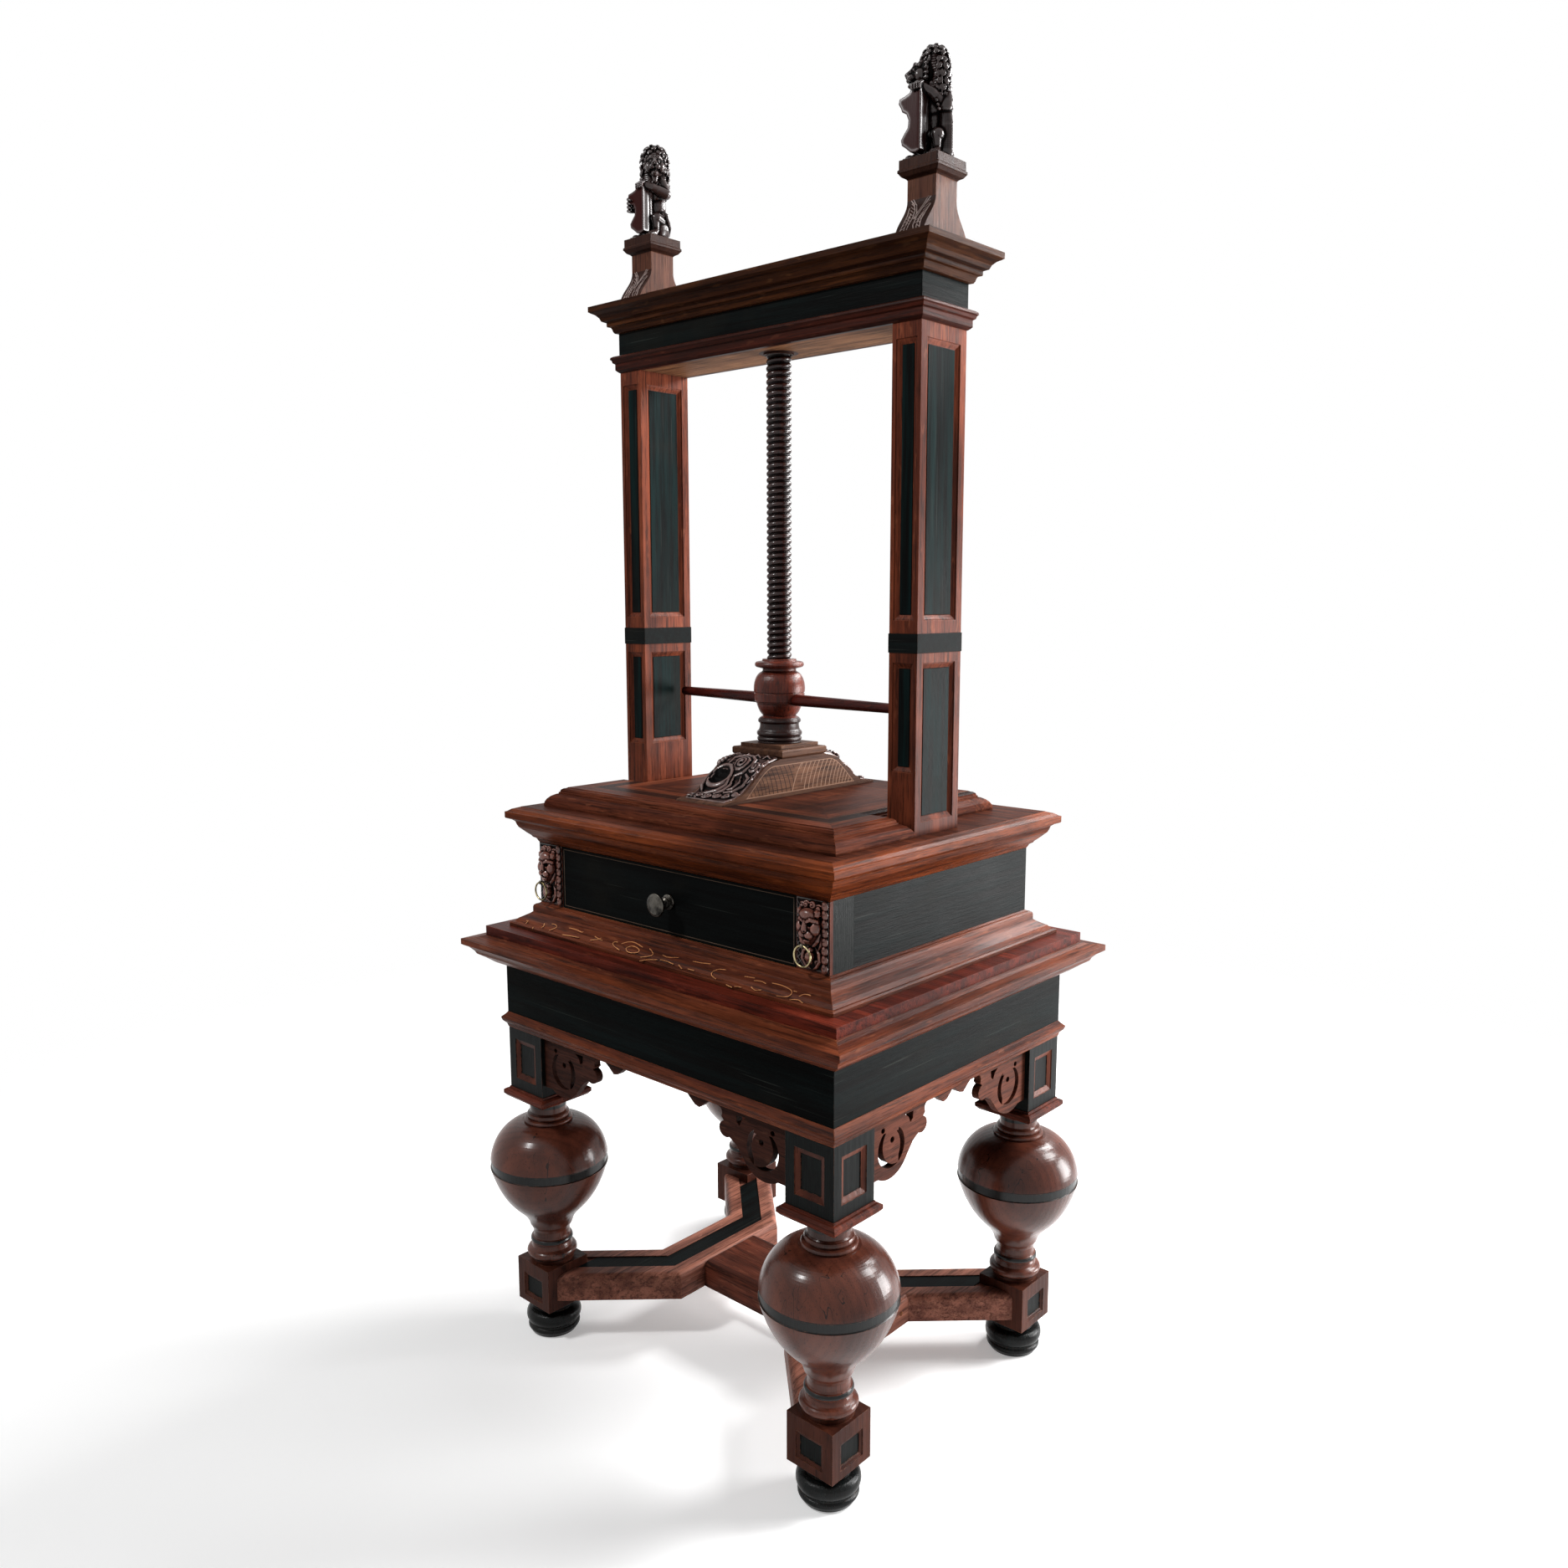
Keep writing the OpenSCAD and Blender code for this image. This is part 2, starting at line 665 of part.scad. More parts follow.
// Cabinet sides, behind the pilasters
module case_sides() {
  for (sx = [0, 1]) mirror([sx, 0, 0]) color(black)
    translate([case_w / 2 - case_t, pilaster_d - case_d / 2, table_z])
      cube([case_t, case_d - pilaster_d, case_board_h]);
}

module case_back() {
  color(black) translate([case_t - case_w / 2, case_d / 2 - case_t, table_z])
    cube([case_w - 2 * case_t, case_t, case_board_h]);
}

// Floor that the drawer runs on
module case_floor() {
  inside = case_w / 2 - case_t;
  front = case_w / 2 - pilaster_w;
  color(oak) translate([0, 0, table_z]) linear_extrude(plinth_h) polygon([
    [-front, -case_d / 2], [front, -case_d / 2], [front, pilaster_d - case_d / 2],
    [inside, pilaster_d - case_d / 2], [inside, case_d / 2 - case_t],
    [-inside, case_d / 2 - case_t], [-inside, pilaster_d - case_d / 2],
    [-front, pilaster_d - case_d / 2]
  ]);
}

// Strips that keep the drawer straight
module drawer_guides() {
  guide_h = 22;
  side = drawer_box_half + gap;
  color(oak) for (sx = [0, 1]) mirror([sx, 0, 0])
    translate([side, pilaster_d - case_d / 2, opening_z])
      cube([case_w / 2 - case_t - side, case_d - pilaster_d - case_t, guide_h]);
}

// Corner pilaster behind a mask
module pilaster(sx) {
  color(dark_oak) translate([sx * pilaster_x - pilaster_w / 2, -case_d / 2, table_z])
    difference() {
      cube([pilaster_w, pilaster_d, case_board_h]);
      translate([pilaster_w / 2, -past, ring_z - table_z])
        rotate([-90, 0, 0]) cylinder(h = eye_shank + past, d = eye_wire, $fn = 24);
    }
}

eye_wire = 3;
eye_width = 3.8;
eye_shank = 12;
eye_hole = ring_wire + 2 * gap;

// Carved lion mask: mane over the brow, head with its muzzle over the ring, beard behind it
module mask(sx) {
  brow_back = 14;
  beard_back = 16;
  cheek_back = 8;
  head_back = 5;
  color(dark_oak) translate([sx * pilaster_x, -case_d / 2, opening_z]) difference() {
    union() {
      translate([0, brow_back, ring_rise + 38]) sphere(r = brow_back + 11);
      translate([0, head_back, ring_rise + 20]) sphere(r = head_back + mask_out);
      translate([0, beard_back, ring_rise - 16]) sphere(r = beard_back + 10);
      for (x = [-1, 1]) translate([x * (pilaster_w / 2 - 14), cheek_back, ring_rise + 4])
        sphere(r = cheek_back + 5);
    }
    translate([-pilaster_w, 0, -opening_h]) cube([2 * pilaster_w, 60, 3 * opening_h]);
    translate([-pilaster_w, -60, -60]) cube([2 * pilaster_w, 120, 60.5]);
    translate([-pilaster_w, -60, opening_h - 0.5]) cube([2 * pilaster_w, 120, 60]);
    translate([0, past, ring_rise]) rotate([90, 0, 0]) cylinder(h = 30, d = eye_wire, $fn = 24);
  }
}

// Staples that the pull rings hang in
module ring_eyes() {
  color(metal) for (sx = [-1, 1]) translate([sx * pilaster_x, ring_y, ring_z]) difference() {
    union() {
      rotate([0, 90, 0]) cylinder(h = eye_width, d = eye_hole + eye_wire, center = true, $fn = 32);
      rotate([-90, 0, 0]) translate([0, 0, (eye_hole + 1) / 2])
        cylinder(h = ring_out + eye_shank - (eye_hole + 1) / 2, d = eye_wire, $fn = 24);
    }
    rotate([0, 90, 0]) cylinder(h = 2 * eye_width, d = eye_hole, center = true, $fn = 32);
  }
}

// Pull ring, hanging from its staple
module pull_ring(sx) {
  mean = (ring_dia - ring_wire) / 2;
  color(metal) translate([sx * pilaster_x, ring_y, ring_z - mean]) rotate([90, 0, 0])
    rotate_extrude($fn = 48) translate([mean, 0]) circle(d = ring_wire, $fn = 24);
}

// Bed of the press, with the mortises of the posts
module bed() {
  color(oak) difference() {
    union() {
      translate([-case_w / 2, -case_d / 2, bed_mould_z]) cube([case_w, case_d, bed_h - bed_lip_t]);
      translate([-case_w / 2 - bed_lip, -case_d / 2 - bed_lip, bed_z - bed_lip_t])
        cube([case_w + 2 * bed_lip, case_d + 2 * bed_lip, bed_lip_t]);
    }
    for (sx = [-1, 1]) translate([sx * post_x - tenon_t / 2, -tenon_w / 2, bed_mould_z - past])
      cube([tenon_t, tenon_w, bed_h + 2 * past]);
  }
}

// Moulding round the edge of the bed
module bed_cornice() {
  nose = bed_lip + 0.01;
  rise = bed_h - bed_lip_t;
  under = fit(
    [[0, 0], [1, 1.5], [3.4, 6], [7.2, 8.2], [9, 11], [13.7, 15.2], [22.9, 24.5], [25, 29], [26.5, 34],
      [30.2, 37]],
    bed_out - 8, rise
  );
  color(oak) translate([0, 0, bed_mould_z]) mitred(case_w / 2, case_d / 2, concat(under, [
    [bed_out - 1, rise + 2.5], [bed_out, rise + 4], [bed_out, bed_h - 8], [bed_out - 3, bed_h - 7],
    [bed_out - 8, bed_h - 3.5], [nose + 4, bed_h - 1.6], [nose, bed_h - 0.3], [nose, rise],
    [0, rise]
  ]));
}

drawer_z = opening_z + drawer_gap;
drawer_top = bed_mould_z - drawer_gap;
drawer_face_y = -case_d / 2;

module drawer_front() {
  color(black) difference() {
    translate([-drawer_half, drawer_face_y, drawer_z])
      cube([2 * drawer_half, drawer_front_t, drawer_top - drawer_z]);
    translate([0, drawer_face_y - past, (drawer_z + drawer_top) / 2]) rotate([-90, 0, 0])
      cylinder(h = drawer_front_t + 2 * past, d = knob_shank);
  }
}

// Drawer sides and back, joined behind the front
module drawer_box() {
  back = drawer_face_y + drawer_front_t;
  color(oak) difference() {
    translate([-drawer_box_half, back, drawer_z])
      cube([2 * drawer_box_half, drawer_l, drawer_side_h]);
    translate([drawer_side_t - drawer_box_half, back - past, drawer_z - past])
      cube([2 * (drawer_box_half - drawer_side_t), drawer_l - drawer_side_t + past,
        drawer_side_h + 2 * past]);
  }
}

module drawer_bottom() {
  back = drawer_face_y + drawer_front_t;
  bottom_rise = 4;
  color(oak) translate([drawer_side_t - drawer_box_half, back, drawer_z + bottom_rise])
    cube([2 * (drawer_box_half - drawer_side_t), drawer_l - drawer_side_t, drawer_bottom_t]);
}

// Turned knob with its shank through the drawer front
module drawer_knob() {
  r = knob_dia / 2;
  color(metal) translate([0, drawer_face_y, (drawer_z + drawer_top) / 2]) rotate([90, 0, 0])
    rotate_extrude() polygon(concat(
      [[0, -drawer_front_t], [knob_shank / 2, -drawer_front_t], [knob_shank / 2, 0]],
      arc([r - 8, 2], 2.5, 2, -90, 90, 4),
      [[r - 10.5, 5]],
      arc([r - 10.5, 9], 2.2, 2.5, -80, 80, 4),
      [[r - 12, 13], [r - 12, knob_out - 12], [r - 8, knob_out - 8]],
      arc([r - 2, knob_out - 4.5], 2, 2.5, -80, 90, 6),
      [[r - 4, knob_out - 1], [0, knob_out]]
    ));
}

// Half width of the panels on a post's wide and narrow faces, and their heights over the bed
wide_panel = post_d - 28;
narrow_panel = post_w - 13;
upper_low = band_rise + band_h + 18;
upper_high = post_h - 21;
lower_high = band_rise - 14;

// Low end of the lower panel on each face: outer, front and back, inner
function lower_low(face) = face == "outer" ? 19 : 89;

module panel_places(sx) {
  for (face = [["outer", sx > 0 ? 90 : 270], ["inner", sx > 0 ? 270 : 90], ["front", 0], ["back", 180]])
    for (part = [[lower_low(face[0]), lower_high], [upper_low, upper_high]]) {
      $panel_w = face[0] == "front" || face[0] == "back" ? narrow_panel : wide_panel;
      $panel_h = part[1] - part[0];
      out = face[0] == "front" || face[0] == "back" ? post_d / 2 : post_w / 2;
      facing(face[1], out, bed_z + (part[0] + part[1]) / 2) children();
    }
}

// How deep the waist band sits in the post
band_in = 3;

// Post with sunk panels on its four faces, a tenon at each end and a groove for the band
module post(sx) {
  color(oak) translate([sx * post_x, 0, 0]) difference() {
    union() {
      translate([-post_w / 2, -post_d / 2, bed_z]) cube([post_w, post_d, post_h]);
      translate([-tenon_t / 2, -tenon_w / 2, bed_mould_z])
        cube([tenon_t, tenon_w, bed_h + post_h + tenon_h]);
    }
    panel_places(sx) sunk_panel($panel_w, $panel_h, panel_sunk, panel_border);
    translate([0, 0, bed_z + band_rise]) difference() {
      translate([-post_w, -post_d, 0]) cube([2 * post_w, 2 * post_d, band_h]);
      translate([band_in - post_w / 2, band_in - post_d / 2, -past])
        cube([post_w - 2 * band_in, post_d - 2 * band_in, band_h + 2 * past]);
    }
  }
}

// Black panels in the sunk fields of both posts
module post_panels() {
  color(black) for (sx = [-1, 1]) translate([sx * post_x, 0, 0]) panel_places(sx)
    translate([0, 0, -panel_sunk]) linear_extrude(panel_t) square(
      [$panel_w - 2 * panel_border, $panel_h - 2 * panel_border], center = true);
}

// Waist bands let into the posts
module post_bands() {
  color(black) for (sx = [-1, 1]) translate([sx * post_x, 0, bed_z + band_rise])
    mitred(post_w / 2, post_d / 2,
      [[-band_in, 0], [band_out, 0], [band_out, band_h], [-band_in, band_h]]);
}

// Core of the head, with the mortises of the posts and the hole for the nut
module head_beam() {
  hx = head_half_w - head_frieze_t;
  hy = head_half_d - head_frieze_t;
  color(oak) difference() {
    translate([-hx, -hy, soffit_z]) cube([2 * hx, 2 * hy, head_h]);
    for (sx = [-1, 1]) translate([sx * post_x - tenon_t / 2, -tenon_w / 2, soffit_z - past])
      cube([tenon_t, tenon_w, tenon_h + past]);
    translate([0, 0, soffit_z - past]) cylinder(h = head_h + 2 * past, d = nut_dia);
  }
}

module head_architrave() {
  section = backed(fit(
    [[0, 0], [3, 2.3], [5, 4.5], [5, 13.5], [8, 15.5], [9, 19], [11, 21], [10.5, 24], [7, 26]],
    architrave_out, architrave_h
  ), head_frieze_t);
  color(oak) translate([0, 0, soffit_z]) mitred(head_half_w, head_half_d, section);
}

module head_frieze() {
  color(black) translate([0, 0, soffit_z + architrave_h]) mitred(head_half_w, head_half_d,
    [[-head_frieze_t, 0], [0, 0], [0, head_frieze_h], [-head_frieze_t, head_frieze_h]]);
}

module head_cornice() {
  low = architrave_h + head_frieze_h;
  section = backed(fit(
    [[0, 0], [5, 1], [6.6, 3.6], [8, 8], [9.3, 10], [13.5, 11], [14, 13], [14, 17], [20, 19.5],
      [22.5, 25], [27, 29.5], [32, 32], [35, 34], [35, 42]],
    head_out, head_h - low
  ), head_frieze_t);
  color(oak) translate([0, 0, soffit_z + low]) mitred(head_half_w, head_half_d, section);
}

// Nut for the press screw, let into the head from below
module screw_nut() {
  bore = screw_dia + 2 * run_fit;
  color(dark_oak) difference() {
    union() {
      translate([0, 0, soffit_z]) cylinder(h = head_h, d = nut_dia);
      translate([0, 0, soffit_z - flange_t]) cylinder(h = flange_t + past, d = flange_dia);
    }
    translate([0, 0, soffit_z - flange_t - past])
      cylinder(h = head_h + flange_t + 2 * past, d = bore);
  }
}

// Pedestal that flares to the front and back, with its moulded cap
module pedestal(sx) {
  neck = pedestal_neck / 2;
  spread = pedestal_foot / 2 - neck;
  rise = pedestal_h - 26;
  steps = 14;
  flare = [for (i = [0 : steps]) let (t = i / steps)
    [neck + spread * (1 + cos(180 * t)) / 2, 4 + (rise - 4) * t]];
  side = concat([[neck + spread, 0]], flare, [[neck, pedestal_h]]);
  n = len(side);
  cap = fit([[0, 0], [2, 2], [6, 4], [9, 8], [10, 9], [10, 12], [8.5, 13.5], [8.5, 25]], cap_out, cap_h);
  color(dark_oak) translate([sx * post_x, 0, head_z]) union() {
    rotate([90, 0, 90]) linear_extrude(pedestal_w, center = true) polygon(concat(
      side, [for (i = [n - 1 : -1 : 0]) [-side[i].x, side[i].y]]
    ));
    translate([0, 0, pedestal_h]) moulded_slab(pedestal_w / 2 + cap_out, neck + cap_out,
      [for (p = cap) [cap_out - p.x, p.y]]);
  }
}

// Seated lion that holds a shield in front, its head turned towards the other lion
module lion(sx) {
  k = lion_h / 146.5;
  color(dark_oak) translate([sx * post_x, 0, lion_z]) scale(k) mirror([sx > 0 ? 1 : 0, 0, 0]) union() {
    translate([-23, -27, 0]) cube([46, 56, 5]);
    hull() {
      translate([0, 10, 21]) sphere(r = 20, $fn = 20);
      translate([0, 2, 62]) sphere(r = 18, $fn = 20);
      translate([0, 14, 7]) cylinder(h = 4, r = 21, $fn = 20);
    }
    hull() {
      translate([1, 2, 82]) sphere(r = 23, $fn = 24);
      translate([0, 2, 112]) sphere(r = 25, $fn = 24);
      translate([0, 1, 128.5]) sphere(r = 18, $fn = 24);
    }
    hull() {
      translate([5, -14, 112]) sphere(r = 13, $fn = 20);
      translate([12, -20, 102]) sphere(r = 8, $fn = 20);
    }
    for (x = [-16, 16]) hull() {
      translate([x, -8, 8]) sphere(r = 6, $fn = 16);
      translate([x, 2, 18]) sphere(r = 9, $fn = 16);
    }
    translate([0, -22, 4]) rotate([84, 0, 0]) linear_extrude(7) polygon([
      [0, 0], [13, 6], [21, 16], [15, 24], [15, 46], [22, 56], [17, 66], [0, 71],
      [-17, 66], [-22, 56], [-15, 46], [-15, 24], [-21, 16], [-13, 6]
    ]);
    for (x = [-10, 12]) hull() {
      translate([x, -23, 71]) sphere(r = 6.5, $fn = 16);
      translate([x * 1.2, -8, 66]) sphere(r = 8, $fn = 16);
    }
  }
}

// Platen: full width in front of the posts, narrower between and behind them
module platen() {
  edge = fit(
    [[0, 0], [0, 3], [1, 7], [3.6, 11.4], [8, 15.6], [13.5, 18.6], [17, 19.6], [17, 21.6], [18.5, 22.2],
      [19.5, 25.5], [22.5, 27.6], [26, 28.2], [28, 29.5]],
    28, platen_t
  );
  front = platen_front - case_d / 2;
  back = case_d / 2 - platen_back;
  shoulder = -post_d / 2 - band_out - platen_gap - 1.3;
  color(oak) union() {
    translate([0, (front + shoulder) / 2, bed_z])
      moulded_slab(case_w / 2, (shoulder - front) / 2, edge);
    translate([0, (front + back) / 2, bed_z])
      moulded_slab(post_clear - band_out - platen_gap, (back - front) / 2, edge);
  }
}

// Height of the hollow under the saddle that the washer turns in
washer_room = washer_t + 3;

// Saddle that spreads the screw's force over the platen
module saddle() {
  half = saddle_l / 2;
  plate = 52;
  step = saddle_h - 6;
  side = [
    [half, 0], [half - 2, 2.5], [half - 30, 7], [half - 46, 14], [half - 62, 25], [half - 78, 38],
    [half - 92, 49], [half - 106, 54], [plate + 4, step - 14], [plate - 2, step - 12]
  ];
  n = len(side);
  color(dark_oak) translate([0, 0, platen_z]) difference() {
    union() {
      rotate([90, 0, 90]) linear_extrude(saddle_w, center = true) polygon(concat(
        side, [for (i = [n - 1 : -1 : 0]) [-side[i].x, side[i].y]]
      ));
      translate([0, 0, step - 13]) moulded_slab(saddle_w / 2 + 4, plate,
        [[4, 0], [1, 2], [0, 4], [0, 11], [1.5, 13]]);
      translate([-saddle_w / 2 + 6, -plate + 9, step - past])
        cube([saddle_w - 12, 2 * plate - 18, saddle_h - step + past]);
    }
    translate([0, 0, -past]) cylinder(h = saddle_h + 2 * past, d = tail_dia + 2 * run_fit);
    translate([0, 0, -past]) cylinder(h = washer_room + past, d = washer_dia + 2);
  }
}

tail_low = platen_z + washer_room - gap;

// Washer riveted under the screw's tail: it lifts the saddle with the platen
module retaining_washer() {
  color(metal) translate([0, 0, tail_low - washer_t]) cylinder(h = washer_t, d = washer_dia);
}

// Press screw: threaded above the hub, plain below it
module screw() {
  color(dark_oak) difference() {
    union() {
      translate([0, 0, thread_z]) cylinder(h = screw_top - thread_z, d = screw_dia);
      translate([0, 0, tail_low]) cylinder(h = thread_z - tail_low + past, d = tail_dia);
    }
    lever_hole();
  }
}

module lever_hole() {
  translate([0, 0, lever_z]) rotate(lever_angle) rotate([0, 90, 0])
    cylinder(h = hub_dia * 2, d = lever_dia + 2 * run_fit, center = true);
}

// Turned hub with the hole for the lever
module screw_hub() {
  r = hub_dia / 2;
  color(dark_oak) translate([0, 0, hub_z]) difference() {
    rotate_extrude() polygon(concat(
      [[tail_dia / 2 + run_fit, 0], [r - 6, 0], [r - 6, 2]],
      arc([r - 8, 6], 2.8, 3.5, -75, 80, 5),
      arc([r - 7.5, 14.5], 2.9, 4.2, -75, 80, 5),
      [[r - 8.5, 21], [r - 9.5, 26], [r - 9.5, 30]],
      arc([r - 9, 34], 2.4, 3.4, -80, 80, 5),
      [[r - 9, 38.5]],
      arc([r - 20, 80], 17.5, 40, -72, -27, 6),
      [[r - 3, 62.2], [r - 3, 63.8], [r - 1.4, 64.5], [r - 0.6, 76.4], [r - 1.6, 77.2],
        [r - 1.6, 78.4], [r - 0.3, 79]],
      arc([r - 16, 84], 16, 27, 0, 78, 10),
      [[r - 14, 112], [r - 14, 115]],
      arc([r - 6.5, hub_h - 8.5], 4.8, 4.6, -85, 85, 7),
      [[r - 13, hub_h - 3], [r - 14, hub_h], [tail_dia / 2 + run_fit, hub_h]]
    ));
    translate([0, 0, -hub_z]) lever_hole();
  }
}

// Lever bar that slides through the hub
module lever() {
  middle = hub_dia / 2 + 10;
  color(dark_oak) translate([0, 0, lever_z]) rotate(lever_angle) rotate([0, 90, 0]) rotate_extrude()
    polygon(concat(
      [[0, -lever_half]],
      arc([lever_end_dia / 2 - 3, 3 - lever_half], 3, 3, -90, 0, 4),
      [[lever_dia / 2, -middle], [lever_dia / 2, middle]],
      arc([lever_end_dia / 2 - 3, lever_half - 3], 3, 3, 0, 90, 4),
      [[0, lever_half]]
    ));
}

translate([-leg_x, -leg_y, 0]) bun_foot();  // foot_front_left
translate([leg_x, -leg_y, 0]) bun_foot();  // foot_front_right
translate([-leg_x, leg_y, 0]) bun_foot();  // foot_back_left
translate([leg_x, leg_y, 0]) bun_foot();  // foot_back_right
leg(-1, -1);  // leg_front_left
leg(1, -1);  // leg_front_right
leg(-1, 1);  // leg_back_left
leg(1, 1);  // leg_back_right
leg_collars();
mirror([1, 0, 0]) side_stretcher();  // side_stretcher_left
side_stretcher();  // side_stretcher_right
stretcher_inlays();
cross_stretcher();
joint_pegs();
frieze_board(0);  // apron_front
frieze_board(180);  // apron_back
frieze_board(270);  // apron_left
frieze_board(90);  // apron_right
apron_moulding();
long_brackets();
side_brackets();
table_cornice();
table_top();
plinth();
case_sides();
case_back();
case_floor();
drawer_guides();
pilaster(-1);  // pilaster_left
pilaster(1);  // pilaster_right
mask(-1);  // mask_left
mask(1);  // mask_right
ring_eyes();
pull_ring(-1);  // ring_left
pull_ring(1);  // ring_right
bed();
bed_cornice();
drawer_front();
drawer_box();
drawer_bottom();
drawer_knob();
post(-1);  // post_left
post(1);  // post_right
post_panels();
post_bands();
head_beam();
head_architrave();
head_frieze();
head_cornice();
screw_nut();
pedestal(-1);  // pedestal_left
pedestal(1);  // pedestal_right
lion(-1);  // lion_left
lion(1);  // lion_right
platen();
saddle();
retaining_washer();
screw();
screw_hub();
lever();
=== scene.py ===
import math
import random

import bmesh
import bpy
import numpy as np
from mathutils import Matrix, Vector


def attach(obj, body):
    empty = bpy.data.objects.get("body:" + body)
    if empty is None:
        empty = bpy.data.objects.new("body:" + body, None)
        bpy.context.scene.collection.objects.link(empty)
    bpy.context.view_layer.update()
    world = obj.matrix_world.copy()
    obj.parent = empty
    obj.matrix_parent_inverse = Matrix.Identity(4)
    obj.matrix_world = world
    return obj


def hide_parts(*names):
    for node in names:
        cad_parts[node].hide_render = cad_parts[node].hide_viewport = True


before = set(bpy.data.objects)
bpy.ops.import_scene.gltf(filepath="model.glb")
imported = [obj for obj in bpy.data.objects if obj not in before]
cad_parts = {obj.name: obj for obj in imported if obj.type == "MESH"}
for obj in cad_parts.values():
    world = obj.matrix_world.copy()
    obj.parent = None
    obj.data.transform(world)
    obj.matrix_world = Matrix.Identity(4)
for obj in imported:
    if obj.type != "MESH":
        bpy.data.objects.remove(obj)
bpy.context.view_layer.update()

# BUN FEET
# Four flattened balls turned in beech and stained black, dowelled into the legs.
# Their lower rims are scuffed down to the bare wood by floors and brooms.


class Tone:
    """A socket of a finish; arithmetic on it adds Math nodes, with | for the larger and & for
    the smaller of two."""

    def __init__(self, finish, socket):
        self.finish, self.socket = finish, socket

    def sum(self, operation, *values):
        return self.finish.add("ShaderNodeMath", {"operation": operation}, dict(enumerate(values)))

    def __abs__(self):
        return self.sum("ABSOLUTE", self)

    def sine(self):
        return self.sum("SINE", self)

    def from_to(self, low, high):
        """0 at low, 1 at high, soft between; low may be the higher."""
        return self.finish.add("ShaderNodeMapRange", {"interpolation_type": "SMOOTHSTEP"},
                               {0: self, 1: low, 2: high, 3: 0.0, 4: 1.0})

    def within(self, low, high):
        """1 between low and high, else 0."""
        return (self > low) * (self < high)

    def parts(self):
        split = self.finish.add("ShaderNodeSeparateXYZ", {}, {0: self}).socket.node
        return [Tone(self.finish, s) for s in split.outputs]


OPERATORS = {"add": "ADD", "sub": "SUBTRACT", "mul": "MULTIPLY", "pow": "POWER", "or": "MAXIMUM",
             "and": "MINIMUM", "gt": "GREATER_THAN", "lt": "LESS_THAN"}
for sign, operation in OPERATORS.items():
    setattr(Tone, "__%s__" % sign, lambda one, two, do=operation: one.sum(do, one, two))
    setattr(Tone, "__r%s__" % sign, lambda one, two, do=operation: one.sum(do, two, one))


class Finish:
    """A material with its Principled shader, and the way its nodes are added."""

    def __init__(self, name, shelf=bpy.data.materials, skin="Principled BSDF"):
        self.material = shelf.new(name)
        self.material.use_nodes = True
        self.tree = self.material.node_tree
        self.skin = self.tree.nodes[skin]
        self.place = self.add("ShaderNodeTexCoord", {}, {}, "Object")

    def add(self, kind, settings, sockets, out=0):
        node = self.tree.nodes.new(kind)
        for key, value in settings.items():
            setattr(node, key, value)
        self.join(node, sockets)
        return Tone(self, node.outputs[out])

    def join(self, node, sockets):
        """Links each Tone, and sets each number, list or colour in screen values (a tuple)."""
        for key, value in sockets.items():
            if isinstance(value, Tone):
                self.tree.links.new(value.socket, node.inputs[key])
            elif isinstance(value, tuple):
                node.inputs[key].default_value = colour(*value)
            else:
                node.inputs[key].default_value = value

    def wear(self, **sockets):
        """Sets or links the shader's own sockets, with _ for a space in their names."""
        self.join(self.skin, {key.replace("_", " "): value for key, value in sockets.items()})

    def vector(self, x, y, z):
        return self.add("ShaderNodeCombineXYZ", {}, {0: x, 1: y, 2: z})

    def blend(self, share, under, over):
        """Colour: under where share is 0, over where it is 1."""
        return self.add("ShaderNodeMix", {"data_type": "RGBA"}, {0: share, 6: under, 7: over}, 2)

    def glaze(self, share, top):
        """Lays a colour over the finished base colour as far as share goes."""
        under = Tone(self, self.skin.inputs["Base Color"].links[0].from_socket)
        self.wear(Base_Color=self.blend(share, under, top))

    def cloud(self, place, scale, detail=3.0, rough=0.55, bend=0.0):
        return self.add("ShaderNodeTexNoise", {}, {
            "Vector": place, "Scale": scale, "Detail": detail, "Roughness": rough,
            "Distortion": bend})

    def raised(self, height, depth, edge=0.0009):
        """Bump of the depth given, on corners softened to the radius edge; 1 on those corners."""
        soft = self.add("ShaderNodeBevel", {"samples": 4}, {"Radius": edge})
        bump = self.add("ShaderNodeBump", {}, {"Distance": depth, "Height": height, "Normal": soft})
        self.wear(Normal=bump)
        true = self.add("ShaderNodeNewGeometry", {}, {}, "Normal")
        facing = self.add("ShaderNodeVectorMath", {"operation": "DOT_PRODUCT"},
                          {0: soft, 1: true}, "Value")
        return (1 - facing).from_to(0.006, 0.05)


def colour(red, green, blue):
    """The linear colour of screen values from 0 to 255."""
    return [((v / 255 + 0.055) / 1.055) ** 2.4 if v > 10 else v / 255 / 12.92
            for v in (red, green, blue)] + [1.0]


def lengthwise(finish, run, mitre=None, squeeze=0.05):
    """The place, squeezed along the grain; mitre gives the half sizes of a mitred frame."""
    x, y, z = finish.place.parts()
    if mitre:
        front = (abs(y) - mitre[1]) > (abs(x) - mitre[0])
        side = 1 - front
        x, y = x * front + y * side, y * front + x * side + side * 0.37
        run = "x"
    if run == "x":
        return finish.vector(x * squeeze, y, z)
    if run == "y":
        return finish.vector(x, y * squeeze, z)
    return finish.vector(x, y, z * squeeze)


